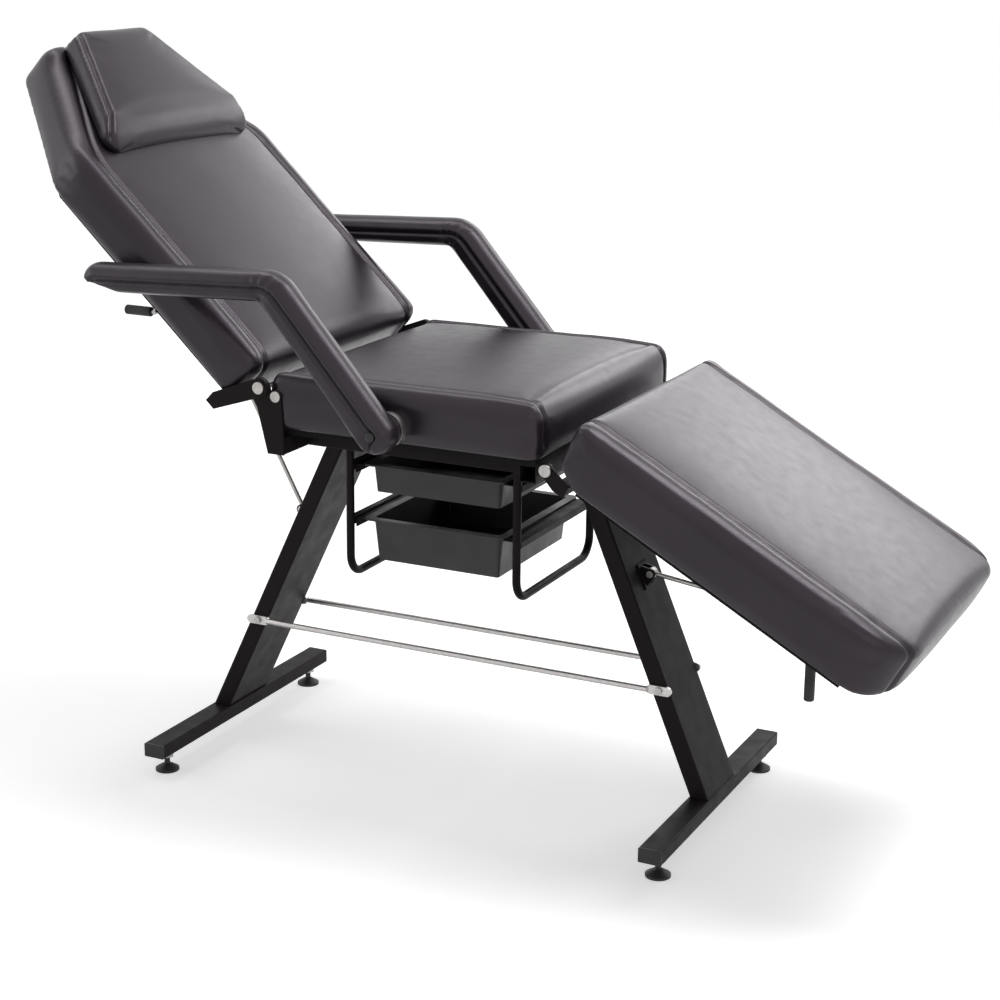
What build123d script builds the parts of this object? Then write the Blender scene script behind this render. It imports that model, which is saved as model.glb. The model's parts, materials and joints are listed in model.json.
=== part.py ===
from build123d import *

import os
from math import cos, hypot, radians, sin, tan

os.makedirs("parts", exist_ok=True)

# Tattoo chair in millimetres: +X towards the leg rest, +Z up, the floor at zero,
# the origin on the floor under the middle of the chair's length.

# Cushions
cushion_width = 560.0
seat_length = 491.0
seat_cushion_thickness = 98.0
back_cushion_length = 705.0
back_cushion_thickness = 92.5
leg_cushion_length = 612.0
leg_cushion_thickness = 103.0
crown_height = 4.0
side_draw_angle = 2.5
cushion_edge_radius = 12.0
cushion_lower_radius = 5.0
cushion_corner_radius = 22.0
seam_inset = 28.0
seam_width = 4.0
seam_depth = 2.0
shoulder_station = 466.0
shoulder_radius = 90.0
head_half_width = 127.0
head_corner_radius = 34.0
foot_corner_radius = 75.0
foot_round_length = 66.0
foot_round_height = 42.0
heel_chamfer_length = 44.0
heel_chamfer_height = 27.0

# Boards and frame tubes
board_thickness = 12.0
board_inset = 18.0
frame_underside = 621.0
frame_tube = 30.0
tube_wall = 2.0
tube_corner_radius = 2.5
leg_corner_radius = 3.5
end_member_inset = 5.0
front_member_inset = 18.0
front_member_half = 250.0
side_rail_offset = 190.0
hanger_member_width = 25.0
pad_rail_tube = 20.0
pad_rail_offset = 150.0

# Recline hinge and back
recline_setback = 6.0
recline_drop = 30.0
back_lean = radians(43.3)
back_start = 24.2
back_face_height = 30.1
hinge_plate_thickness = 4.0
hinge_side_gap = 1.0
hinge_boss_radius = 16.0
hinge_bolt_radius = 6.0
bolt_head_radius = 10.0
bolt_head_thickness = 4.7
stay_bolt_forward = 28.0
stay_bolt_drop = 13.0
stay_bolt_radius = 4.0
stay_head_radius = 9.0
stay_head_thickness = 2.8
back_member_station = 44.0
back_member_reach = 286.0
back_rail_end = 620.0
back_upper_member_station = 450.0

# Leg-rest hinge
leg_lean = radians(29.0)
leg_pivot_drop = 5.0
leg_start = 17.1
leg_underside = 10.5
leg_lug_offset = 248.0
leg_lug_thickness = 4.0
leg_lug_radius = 11.0
leg_bolt_radius = 5.0
leg_member_station = 35.0
leg_board_start = 62.0
leg_board_end = 556.0
leg_upper_member_station = 546.0

# Legs and feet
leg_width = 130.0
leg_depth = 30.0
rear_leg_lean = radians(25.3)
front_leg_lean = radians(22.9)
foot_bar_width = 40.0
foot_bar_height = 25.0
foot_bar_length = 560.0
foot_bar_clearance = 36.0
plug_cap = 3.0
plug_depth = 18.0
foot_spacing = 243.0
foot_pad_radius = 21.0
foot_pad_edge = 4.0
foot_pad_height = 12.0
foot_neck_radius = 8.0
foot_stem_radius = 5.0
foot_stem_height = 56.0
foot_nut_across = 22.0
foot_nut_height = 10.0
stretcher_height = 242.0
stretcher_radius = 5.0
stretcher_tab_length = 40.0
stretcher_tab_height = 16.0
stretcher_bolt_radius = 3.0
stretcher_head_radius = 6.5
stretcher_head_thickness = 4.0

# Hangers and trays
rear_hanger_station = 409.0
front_hanger_station = 97.0
hoop_half_width = 150.0
hoop_drop = 241.0
hoop_radius = 7.0
hoop_wall = 1.5
hoop_corner_radius = 36.0
crossbar_size = 14.0
tray_rail_thickness = 2.0
tray_rail_leg = 15.0
tray_rail_shelf = 26.0
tray_width = 242.0
tray_flange = 12.0
tray_flange_thickness = 3.0
tray_wall = 3.0
tray_draft = 6.0
tray_corner_radius = 12.0
upper_tray_drop = 36.0
upper_tray_depth = 50.0
lower_tray_drop = 131.0
lower_tray_depth = 75.0

# Armrests
arm_pivot_back = 257.0
arm_pivot_rise = 27.0
arm_width = 60.0
arm_gap = 18.0
arm_tip_reach = 543.0
arm_top_rise = 240.0
arm_bar_thickness = 50.0
arm_outer_bend = 170.0
arm_inner_bend = 201.0
arm_front_reach = 47.0
arm_front_drop = 2.0
arm_heel_reach = 2.0
arm_heel_drop = 45.0
arm_outer_radius = 70.0
arm_inner_radius = 18.0
arm_end_radius = 28.0
arm_tip_length = 65.0
arm_tip_rise = 22.0
arm_tip_radius = 12.0
arm_plan_radius = 27.0
arm_edge_radius = 11.0
arm_core_thickness = 15.0
arm_core_inset = 14.0
arm_core_cover = 3.0
arm_disc_radius = 28.0
arm_neck_radius = 12.0
arm_boss_radius = 14.0
arm_bolt_radius = 5.0
arm_bolt_head_radius = 7.5
arm_bolt_head_thickness = 5.0
arm_recess_radius = 9.0
batten_width = 30.0
batten_height = 45.0
batten_length = 120.0
corner_block_height = 70.0
corner_block_length = 30.0

# Locking struts
strut_rod_radius = 4.0
strut_eye_radius = 9.0
strut_eye_width = 12.0
strut_pin_radius = 4.0
strut_pin_head_radius = 6.0
strut_pin_head = 2.0
strut_ear_thickness = 4.0
strut_ear_gap = 0.3
case_half_width = 8.0
case_wall = 2.0
case_web_offset = 7.0
case_head_walls = 12.0
case_head_length = 60.0
case_slope_length = 15.0
case_end_gap = 12.0
case_lug_length = 27.0
back_strut_foot_drop = 179.0
back_strut_standoff = 18.0
back_strut_head_station = 418.9
back_strut_rod_length = 345.0
back_strut_case_length = 350.0
back_case_wall_height = 20.0
leg_strut_foot_drop = 200.5
leg_strut_standoff = 13.0
leg_strut_head_station = 522.1
leg_strut_rod_length = 284.0
leg_strut_case_length = 240.0
leg_case_wall_height = 27.0
strut_head_drop = 20.0
bracket_plate_thickness = 4.0
bracket_plate_width = 50.0
foot_plate_thickness = 3.0
foot_plate_width = 40.0
foot_plate_length = 44.0

# Release levers
lever_shaft_radius = 4.0
lever_shaft_offset = 20.0
lever_ear_radius = 8.0
lever_side_reach = 3.0
lever_spigot_length = 42.0
lever_window_half = 8.0
cam_half_width = 4.0
cam_half_thickness = 2.5
grip_radius = 8.5
grip_start = 6.0
back_lever_station = 158.7
back_lever_reach = 130.0
back_grip_length = 54.0
back_cam_gap = 1.6
leg_lever_station = 46.0
leg_lever_reach = 115.0
leg_grip_length = 65.0
leg_cam_gap = 2.9

# Head pillow
pillow_start = 457.0
pillow_length = 234.0
pillow_base_half = 226.0
pillow_top_half = 102.0
pillow_neck_height = 44.0
pillow_head_height = 50.0
pillow_neck_slope = 42.0
pillow_corner_radius = 22.0
pillow_edge_radius = 12.0
pillow_neck_radius = 14.0
tape_length = 120.0
tape_width = 20.0
tape_thickness = 1.5
tape_inset = 60.0

# Clearances
running_gap = 0.05
side_gap = 0.3
seat_slack = 0.1
overrun = 50.0

# Places that follow from the sizes
half_width = cushion_width / 2
frame_top = frame_underside + frame_tube
board_top = frame_top + board_thickness
arm_pivot_z = board_top + arm_pivot_rise
hoop_bottom = frame_underside - hoop_drop
upper_tray_top = frame_underside - upper_tray_drop
lower_tray_top = frame_underside - lower_tray_drop
seat_top = board_top + seat_cushion_thickness
back_end = back_start + back_cushion_length
back_rear_face = back_cushion_thickness - back_face_height
leg_end = leg_start + leg_cushion_length
leg_top_face = leg_underside + leg_cushion_thickness
back_reach = (
    seat_length + recline_setback + back_end * cos(back_lean) + back_rear_face * sin(back_lean)
)
leg_reach = leg_end * cos(leg_lean) + leg_top_face * sin(leg_lean)
seat_front = (back_reach - leg_reach) / 2
seat_rear = seat_front - seat_length
seat_middle = (seat_front + seat_rear) / 2
recline_x = seat_rear - recline_setback
recline_z = seat_top - recline_drop
leg_pivot_x = seat_front
leg_pivot_z = frame_top - leg_pivot_drop
rear_member_x = seat_rear + end_member_inset + frame_tube / 2
front_member_x = seat_front - front_member_inset - frame_tube / 2
foot_bar_top = foot_bar_clearance + foot_bar_height
frame_middle_z = frame_underside + frame_tube / 2
plate_inner = half_width + hinge_side_gap
plate_outer = plate_inner + hinge_plate_thickness
back_plate_inner = plate_outer + hinge_side_gap
back_plate_outer = back_plate_inner + hinge_plate_thickness
arm_inner_face = half_width + arm_gap
arm_middle = arm_inner_face + arm_width / 2
arm_pivot_x = seat_front - arm_pivot_back
back_board_rear = back_rear_face + board_thickness
back_rail_middle = back_board_rear + pad_rail_tube / 2
leg_board_lower = leg_underside - board_thickness
leg_rail_middle = leg_board_lower - pad_rail_tube / 2

sides = (-1, 1)


def side_plane(y=0):
    """Upright plane along the chair, local x to the leg rest and local y up."""
    return Plane(origin=(0, y, 0), x_dir=(1, 0, 0), z_dir=(0, -1, 0))


def cross_plane(x):
    """Upright plane across the chair, local x along +Y."""
    return Plane(origin=(x, 0, 0), x_dir=(0, 1, 0), z_dir=(1, 0, 0))


def back_side(y=0):
    """Side plane of the back, local x up along the back and local y out of its front."""
    return Plane(
        origin=(recline_x, y, recline_z), x_dir=(-cos(back_lean), 0, sin(back_lean)), z_dir=(0, 1, 0)
    )


def leg_side(y=0):
    """Side plane of the leg rest, local x down along it and local y out of its top."""
    return Plane(
        origin=(leg_pivot_x, y, leg_pivot_z), x_dir=(cos(leg_lean), 0, -sin(leg_lean)), z_dir=(0, -1, 0)
    )


def place(plane, along, out):
    """World point of a local position on a side plane."""
    return plane.from_local_coords(Vector(along, out, 0))


def plan_of(side, out):
    """Plane parallel to a cushion's face, local x along the cushion."""
    origin = place(side, 0, out)
    return Plane(origin=origin, x_dir=side.x_dir, z_dir=side.y_dir)


def section_of(side, along):
    """Plane across a cushion, local x across the chair and local y out of its face."""
    origin = place(side, along, 0)
    across = Vector(0, 1, 0)
    return Plane(origin=origin, x_dir=across, z_dir=across.cross(side.y_dir))


def closed_outline(plane, points):
    """Face inside straight lines through the points."""
    with BuildSketch(plane) as outline:
        with BuildLine():
            Polyline(*points, close=True)
        make_face()
    return outline.sketch


def box_section(plane, width, height, wall, place_x=0, place_y=0):
    """Hollow rectangular section."""
    with BuildSketch(plane) as section:
        with Locations((place_x, place_y)):
            RectangleRounded(width, height, tube_corner_radius)
            Rectangle(width - 2 * wall, height - 2 * wall, mode=Mode.SUBTRACT)
    return section.sketch


def disc(plane, radius, place_x=0, place_y=0):
    """Round section."""
    with BuildSketch(plane) as section:
        with Locations((place_x, place_y)):
            Circle(radius)
    return section.sketch


def boss_plate(plane, radius, boss, width, height, foot):
    """Plate outline that joins a round boss to a rectangular foot."""
    with BuildSketch(plane) as outline:
        with Locations(boss):
            Circle(radius)
        with Locations(foot):
            Rectangle(width, height)
        make_hull()
    return outline.sketch


def upholstered(plan, side, base, thickness, crown, corner_radius):
    """Cushion from its plan: sides drawn in to both faces, a crowned top, rounded edges."""
    out = side.y_dir
    with BuildPart() as cushion:
        extrude(plan, amount=thickness / 2, taper=side_draw_angle)
        extrude(plan, amount=-thickness / 2, taper=side_draw_angle)
        top = base + thickness
        reach = back_cushion_length + leg_cushion_length
        with BuildSketch(section_of(side, 0)):
            with BuildLine():
                low_left = (-half_width - crown, base - crown)
                low_right = (half_width + crown, base - crown)
                high_right = (half_width + crown, top - crown)
                high_left = (-half_width - crown, top - crown)
                Line(low_left, low_right)
                Line(low_right, high_right)
                ThreePointArc(high_right, (0, top), high_left)
                Line(high_left, low_left)
            make_face()
        extrude(amount=reach, both=True, mode=Mode.INTERSECT)
        height_order = cushion.faces().sort_by(Axis((0, 0, 0), out))
        fillet(height_order[-1].edges(), corner_radius)
        height_order = cushion.faces().sort_by(Axis((0, 0, 0), out))
        fillet(height_order[0].edges(), cushion_lower_radius)
    return cushion.part


def seam_cut(side, top, length, inset):
    """Pair of shallow V cuts along a cushion, just inside its long edges."""
    with BuildPart() as cuts:
        for across in sides:
            seam_y = across * (half_width - inset)
            share_out = 1 - (inset / half_width)
            seam_top = top - crown_height * share_out**2
            outline = closed_outline(
                section_of(side, 0),
                [
                    (seam_y - seam_width / 2, seam_top + seam_depth),
                    (seam_y + seam_width / 2, seam_top + seam_depth),
                    (seam_y, seam_top - seam_depth),
                ],
            )
            extrude(outline, amount=length, both=True)
    return cuts.part


# Rear and front legs: leaning box tubes under the seat's end members
leg_rise = frame_underside - foot_bar_top


def leg_outline(top_x, lean, inset):
    """Side outline of a leg, drawn in by the inset on both slanted faces."""
    half = (leg_depth / 2 - inset) / abs(cos(lean))
    foot_x = top_x + leg_rise * tan(lean)
    return closed_outline(
        side_plane(),
        [
            (top_x - half, frame_underside),
            (top_x + half, frame_underside),
            (foot_x + half, foot_bar_top),
            (foot_x - half, foot_bar_top),
        ],
    )


def leg_middle(top_x, lean, height):
    """Middle of a leg at a height, along the chair."""
    return top_x + (frame_underside - height) * tan(lean)


rear_foot_x = leg_middle(rear_member_x, -rear_leg_lean, foot_bar_top)
front_foot_x = leg_middle(front_member_x, front_leg_lean, foot_bar_top)
rear_stretcher_x = leg_middle(rear_member_x, -rear_leg_lean, stretcher_height)
front_stretcher_x = leg_middle(front_member_x, front_leg_lean, stretcher_height)

for name, top_x, lean, stretcher_x in (
    ("rear_leg", rear_member_x, -rear_leg_lean, rear_stretcher_x),
    ("front_leg", front_member_x, front_leg_lean, front_stretcher_x),
):
    with BuildPart() as leg:
        extrude(leg_outline(top_x, lean, 0), amount=leg_width / 2, both=True)
        leg_edges = leg.edges().sort_by(SortBy.LENGTH)[-4:]
        fillet(leg_edges, leg_corner_radius)
        extrude(
            leg_outline(top_x, lean, tube_wall),
            amount=leg_width / 2 - tube_wall,
            both=True,
            mode=Mode.SUBTRACT,
        )
        extrude(
            disc(side_plane(), stretcher_bolt_radius, stretcher_x, stretcher_height),
            amount=leg_width,
            both=True,
            mode=Mode.SUBTRACT,
        )
    leg.part.label = name
    export_step(leg.part, f"parts/{name}.step")

# Cross bars on the floor ends of the legs, drilled for the levelling feet
bar_middle_z = foot_bar_clearance + foot_bar_height / 2
foot_places = [(x, across * foot_spacing) for x in (rear_foot_x, front_foot_x) for across in sides]

with BuildPart() as foot_bars:
    for foot_x in (rear_foot_x, front_foot_x):
        extrude(
            box_section(side_plane(), foot_bar_width, foot_bar_height, tube_wall, foot_x, bar_middle_z),
            amount=foot_bar_length / 2,
            both=True,
        )
    with BuildSketch(Plane.XY.offset(foot_bar_clearance)):
        with Locations(*foot_places):
            Circle(foot_stem_radius + side_gap)
    extrude(amount=tube_wall, mode=Mode.SUBTRACT)
foot_bars.part.label = "foot_bars"
export_step(foot_bars.part, "parts/foot_bars.step")

# Plugs in the bar ends
with BuildPart() as foot_bar_plugs:
    for foot_x in (rear_foot_x, front_foot_x):
        for across in sides:
            end_plane = Plane(
                origin=(foot_x, across * foot_bar_length / 2, bar_middle_z),
                x_dir=(1, 0, 0),
                z_dir=(0, across, 0),
            )
            with BuildSketch(end_plane):
                RectangleRounded(foot_bar_width, foot_bar_height, tube_corner_radius)
            extrude(amount=plug_cap)
            with BuildSketch(end_plane):
                Rectangle(foot_bar_width - 2 * tube_wall, foot_bar_height - 2 * tube_wall)
            extrude(amount=-plug_depth)
    across_order = foot_bar_plugs.faces().group_by(Axis.Y)
    fillet((across_order[0] + across_order[-1]).edges(), plug_cap / 3)
foot_bar_plugs.part.label = "foot_bar_plugs"
export_step(foot_bar_plugs.part, "parts/foot_bar_plugs.step")

# Nuts under the bars
with BuildPart() as levelling_foot_nuts:
    with BuildSketch(Plane.XY.offset(foot_bar_clearance)):
        with Locations(*foot_places):
            RegularPolygon(foot_nut_across / 2, side_count=6, major_radius=False)
            Circle(foot_stem_radius + running_gap, mode=Mode.SUBTRACT)
    extrude(amount=-foot_nut_height)
levelling_foot_nuts.part.label = "levelling_foot_nuts"
export_step(levelling_foot_nuts.part, "parts/levelling_foot_nuts.step")

# Four levelling feet: a coned pad on a threaded stem
foot_names = ("rear_near_foot", "rear_far_foot", "front_near_foot", "front_far_foot")
for name, (foot_x, foot_y) in zip(foot_names, foot_places):
    with BuildPart() as levelling_foot:
        with BuildSketch(Plane(origin=(foot_x, foot_y, 0), x_dir=(1, 0, 0), z_dir=(0, -1, 0))):
            with BuildLine():
                Polyline(
                    (0, 0),
                    (foot_pad_radius, 0),
                    (foot_pad_radius, foot_pad_edge),
                    (foot_neck_radius, foot_pad_height),
                    (foot_stem_radius, foot_pad_height),
                    (foot_stem_radius, foot_stem_height),
                    (0, foot_stem_height),
                    close=True,
                )
            make_face()
        revolve(axis=Axis((foot_x, foot_y, 0), (0, 0, 1)))
    levelling_foot.part.label = name
    export_step(levelling_foot.part, f"parts/{name}.step")

# Thin stretcher rods along both sides of the legs, with flattened ends
leg_face = leg_width / 2
stretcher_y = leg_face + stretcher_radius

with BuildPart() as stretcher_rods:
    for across in sides:
        rod_plane = cross_plane(rear_stretcher_x)
        extrude(
            disc(rod_plane, stretcher_radius, across * stretcher_y, stretcher_height),
            amount=front_stretcher_x - rear_stretcher_x,
        )
        for station in (rear_stretcher_x, front_stretcher_x):
            tab_plane = Plane(
                origin=(station, across * leg_face, stretcher_height), x_dir=(1, 0, 0), z_dir=(0, across, 0)
            )
            with BuildSketch(tab_plane):
                SlotOverall(stretcher_tab_length, stretcher_tab_height)
            extrude(amount=2 * stretcher_radius, mode=Mode.SUBTRACT)
            with BuildSketch(tab_plane):
                SlotOverall(stretcher_tab_length + stretcher_radius, stretcher_tab_height)
                Circle(stretcher_bolt_radius, mode=Mode.SUBTRACT)
            extrude(amount=stretcher_radius)
stretcher_rods.part.label = "stretcher_rods"
export_step(stretcher_rods.part, "parts/stretcher_rods.step")

with BuildPart() as stretcher_bolts:
    for across in sides:
        for station in (rear_stretcher_x, front_stretcher_x):
            bolt_plane = Plane(
                origin=(station, across * (leg_face + stretcher_radius), stretcher_height),
                x_dir=(1, 0, 0),
                z_dir=(0, across, 0),
            )
            extrude(disc(bolt_plane, stretcher_head_radius), amount=stretcher_head_thickness)
            extrude(disc(bolt_plane, stretcher_bolt_radius), amount=-(stretcher_radius + 2 * tube_wall))
stretcher_bolts.part.label = "stretcher_bolts"
export_step(stretcher_bolts.part, "parts/stretcher_bolts.step")

# Seat frame: end members across, side rails between them, hanger members between the rails
with BuildPart() as seat_end_members:
    extrude(
        box_section(side_plane(), frame_tube, frame_tube, tube_wall, rear_member_x, frame_middle_z),
        amount=plate_inner,
        both=True,
    )
    extrude(
        box_section(side_plane(), frame_tube, frame_tube, tube_wall, front_member_x, frame_middle_z),
        amount=front_member_half,
        both=True,
    )
seat_end_members.part.label = "seat_end_members"
export_step(seat_end_members.part, "parts/seat_end_members.step")

rail_start = rear_member_x + frame_tube / 2
rail_end = front_member_x - frame_tube / 2
with BuildPart() as seat_side_rails:
    for across in sides:
        extrude(
            box_section(
                cross_plane(rail_start),
                frame_tube,
                frame_tube,
                tube_wall,
                across * side_rail_offset,
                frame_middle_z,
            ),
            amount=rail_end - rail_start,
        )
seat_side_rails.part.label = "seat_side_rails"
export_step(seat_side_rails.part, "parts/seat_side_rails.step")

rear_hanger_x = seat_front - rear_hanger_station
front_hanger_x = seat_front - front_hanger_station
with BuildPart() as hanger_members:
    for hanger_x in (rear_hanger_x, front_hanger_x):
        extrude(
            box_section(
                side_plane(), hanger_member_width, frame_tube, tube_wall, hanger_x, frame_middle_z
            ),
            amount=side_rail_offset - frame_tube / 2,
            both=True,
        )
hanger_members.part.label = "hanger_members"
export_step(hanger_members.part, "parts/hanger_members.step")

# Hoops that hang the trays, each a bent round tube
for name, hanger_x in (("rear_hanger_hoop", rear_hanger_x), ("front_hanger_hoop", front_hanger_x)):
    with BuildPart() as hoop:
        with BuildLine(cross_plane(hanger_x)) as hoop_path:
            FilletPolyline(
                (-hoop_half_width, frame_underside),
                (-hoop_half_width, hoop_bottom + hoop_radius),
                (hoop_half_width, hoop_bottom + hoop_radius),
                (hoop_half_width, frame_underside),
                radius=hoop_corner_radius,
            )
        with BuildSketch(
            Plane(origin=(hanger_x, -hoop_half_width, frame_underside), x_dir=(1, 0, 0), z_dir=(0, 0, -1))
        ):
            Circle(hoop_radius)
            Circle(hoop_radius - hoop_wall, mode=Mode.SUBTRACT)
        sweep(path=hoop_path.line)
    hoop.part.label = name
    export_step(hoop.part, f"parts/{name}.step")

# Straight bars across the hoops at the two tray levels, coped to the uprights
tray_middle_x = (rear_hanger_x + front_hanger_x) / 2
tray_tops = (upper_tray_top, lower_tray_top)
shelf_drop = tray_flange_thickness + side_gap
with BuildPart() as hanger_crossbars:
    for tray_top in tray_tops:
        for hanger_x in (rear_hanger_x, front_hanger_x):
            extrude(
                box_section(
                    side_plane(),
                    crossbar_size,
                    crossbar_size,
                    hoop_wall,
                    hanger_x,
                    tray_top - crossbar_size / 2,
                ),
                amount=hoop_half_width,
                both=True,
            )
    for hanger_x in (rear_hanger_x, front_hanger_x):
        for across in sides:
            extrude(
                disc(Plane.XY.offset(hoop_bottom), hoop_radius, hanger_x, across * hoop_half_width),
                amount=frame_underside,
                mode=Mode.SUBTRACT,
            )
hanger_crossbars.part.label = "hanger_crossbars"
export_step(hanger_crossbars.part, "parts/hanger_crossbars.step")

# Angle rails that carry the tray flanges
rail_back = (front_hanger_x - rear_hanger_x - crossbar_size) / 2
rail_length = 2 * (hoop_half_width - hoop_radius)
with BuildPart() as tray_rails:
    for tray_top in tray_tops:
        shelf_top = tray_top - shelf_drop
        for toward in sides:
            outer_x = tray_middle_x + toward * rail_back
            shelf_x = outer_x - toward * tray_rail_shelf
            inner_x = outer_x - toward * tray_rail_thickness
            rail = closed_outline(
                side_plane(),
                [
                    (outer_x, shelf_top),
                    (shelf_x, shelf_top),
                    (shelf_x, shelf_top - tray_rail_thickness),
                    (inner_x, shelf_top - tray_rail_thickness),
                    (inner_x, shelf_top - tray_rail_leg),
                    (outer_x, shelf_top - tray_rail_leg),
                ],
            )
            extrude(rail, amount=rail_length / 2, both=True)
tray_rails.part.label = "tray_rails"
export_step(tray_rails.part, "parts/tray_rails.step")

# Two open trays with rims
tray_length = 2 * hoop_half_width
for name, tray_top, tray_depth in (
    ("upper_tray", upper_tray_top, upper_tray_depth),
    ("lower_tray", lower_tray_top, lower_tray_depth),
):
    tray_plane = Plane(origin=(tray_middle_x, 0, tray_top), x_dir=(1, 0, 0), z_dir=(0, 0, -1))
    body_length = tray_length - 2 * tray_flange
    with BuildPart() as tray:
        with BuildSketch(tray_plane):
            RectangleRounded(tray_width + 2 * tray_flange, tray_length, tray_corner_radius)
        extrude(amount=tray_flange_thickness)
        with BuildSketch(tray_plane):
            RectangleRounded(tray_width, body_length, tray_corner_radius)
        extrude(amount=tray_depth, taper=tray_draft)
        with BuildSketch(tray_plane):
            RectangleRounded(
                tray_width - 2 * tray_wall, body_length - 2 * tray_wall, tray_corner_radius - tray_wall
            )
        extrude(amount=tray_depth - tray_wall, taper=tray_draft, mode=Mode.SUBTRACT)
    tray.part.label = name
    export_step(tray.part, f"parts/{name}.step")

# Seat board, cushion and the wooden blocks inside the cushion
with BuildPart() as seat_board:
    with BuildSketch(Plane.XY.offset(frame_top)):
        with Locations((seat_middle, 0)):
            Rectangle(seat_length - 2 * board_inset, cushion_width - 2 * board_inset)
    extrude(amount=board_thickness)
seat_board.part.label = "seat_board"
export_step(seat_board.part, "parts/seat_board.step")

batten_outer = half_width - board_inset
batten_middle_y = batten_outer - batten_width / 2
stay_x = recline_x + stay_bolt_forward
stay_z = recline_z - stay_bolt_drop
bolt_head_inner = arm_inner_face + arm_core_cover + arm_core_thickness + side_gap

with BuildPart() as batten_blocks:
    with BuildSketch(Plane.XY.offset(board_top)):
        with Locations(*[(arm_pivot_x, across * batten_middle_y) for across in sides]):
            Rectangle(batten_length, batten_width)
    extrude(amount=batten_height)
    with BuildSketch(Plane.XY.offset(board_top)):
        with Locations(*[(stay_x, across * batten_middle_y) for across in sides]):
            Rectangle(corner_block_length, batten_width)
    extrude(amount=corner_block_height)

with BuildPart() as side_battens:
    add(batten_blocks.part)
    extrude(
        disc(side_plane(), arm_bolt_radius, arm_pivot_x, arm_pivot_z),
        amount=half_width,
        both=True,
        mode=Mode.SUBTRACT,
    )
    extrude(
        disc(side_plane(), stay_bolt_radius, stay_x, stay_z),
        amount=half_width,
        both=True,
        mode=Mode.SUBTRACT,
    )
side_battens.part.label = "side_battens"
export_step(side_battens.part, "parts/side_battens.step")

seat_side = Plane(origin=(seat_rear, 0, 0), x_dir=(1, 0, 0), z_dir=(0, -1, 0))
with BuildSketch(Plane.XY.offset(board_top + seat_cushion_thickness / 2)) as seat_plan:
    with Locations((seat_middle, 0)):
        RectangleRounded(seat_length, cushion_width, cushion_corner_radius)

with BuildPart() as seat_cushion:
    add(
        upholstered(
            seat_plan.sketch,
            seat_side,
            board_top,
            seat_cushion_thickness,
            crown_height,
            cushion_edge_radius,
        )
    )
    add(seam_cut(seat_side, seat_top, seat_length + overrun, seam_inset), mode=Mode.SUBTRACT)
    add(batten_blocks.part, mode=Mode.SUBTRACT)
    for across in sides:
        for place_x, place_z, radius in (
            (arm_pivot_x, arm_pivot_z, arm_neck_radius + side_gap),
            (stay_x, stay_z, stay_bolt_radius),
        ):
            bore_plane = Plane(
                origin=(place_x, across * batten_middle_y, place_z), x_dir=(1, 0, 0), z_dir=(0, across, 0)
            )
            extrude(disc(bore_plane, radius), amount=overrun, mode=Mode.SUBTRACT)
seat_cushion.part.label = "seat_cushion"
export_step(seat_cushion.part, "parts/seat_cushion.step")

# Recline hinge: a plate on each end of the rear member, and the bolts
with BuildPart() as seat_hinge_plates:
    for across in sides:
        plate_plane = side_plane(across * plate_inner)
        plate = boss_plate(
            plate_plane,
            hinge_boss_radius,
            (recline_x, recline_z),
            frame_tube,
            frame_tube,
            (rear_member_x, frame_middle_z),
        )
        extrude(plate, amount=-across * hinge_plate_thickness)
        stay_ear = boss_plate(
            plate_plane,
            bolt_head_radius,
            (stay_x, stay_z),
            frame_tube,
            frame_tube,
            (rear_member_x, frame_middle_z),
        )
        extrude(stay_ear, amount=-across * hinge_plate_thickness)
        for place_x, place_z, radius in (
            (recline_x, recline_z, hinge_bolt_radius),
            (stay_x, stay_z, stay_bolt_radius),
        ):
            extrude(
                disc(plate_plane, radius, place_x, place_z),
                amount=-across * hinge_plate_thickness,
                mode=Mode.SUBTRACT,
            )
seat_hinge_plates.part.label = "seat_hinge_plates"
export_step(seat_hinge_plates.part, "parts/seat_hinge_plates.step")

with BuildPart() as recline_pivot_bolts:
    for across in sides:
        head_plane = side_plane(across * (back_plate_outer + side_gap))
        extrude(
            disc(head_plane, bolt_head_radius, recline_x, recline_z), amount=-across * bolt_head_thickness
        )
        extrude(
            disc(head_plane, hinge_bolt_radius, recline_x, recline_z),
            amount=across * (back_plate_outer + side_gap - plate_inner),
        )
        stay_head = side_plane(across * plate_outer)
        extrude(disc(stay_head, stay_head_radius, stay_x, stay_z), amount=-across * stay_head_thickness)
        extrude(
            disc(stay_head, stay_bolt_radius, stay_x, stay_z),
            amount=across * (plate_outer - batten_outer + batten_width),
        )
recline_pivot_bolts.part.label = "recline_pivot_bolts"
export_step(recline_pivot_bolts.part, "parts/recline_pivot_bolts.step")

# Armrest pivots: spacer discs with a neck in the cushion and a boss in the arm
with BuildPart() as arm_pivot_discs:
    for across in sides:
        neck_plane = side_plane(across * batten_outer)
        disc_plane = side_plane(across * (half_width + side_gap))
        extrude(
            disc(neck_plane, arm_neck_radius, arm_pivot_x, arm_pivot_z),
            amount=-across * (half_width + side_gap - batten_outer),
        )
        extrude(
            disc(disc_plane, arm_disc_radius, arm_pivot_x, arm_pivot_z),
            amount=-across * (arm_gap - 2 * side_gap),
        )
        extrude(
            disc(disc_plane, arm_boss_radius, arm_pivot_x, arm_pivot_z),
            amount=-across * (arm_gap + arm_core_cover - side_gap - seat_slack),
        )
    extrude(
        disc(side_plane(), arm_bolt_radius, arm_pivot_x, arm_pivot_z),
        amount=arm_middle,
        both=True,
        mode=Mode.SUBTRACT,
    )
arm_pivot_discs.part.label = "arm_pivot_discs"
export_step(arm_pivot_discs.part, "parts/arm_pivot_discs.step")

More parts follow.
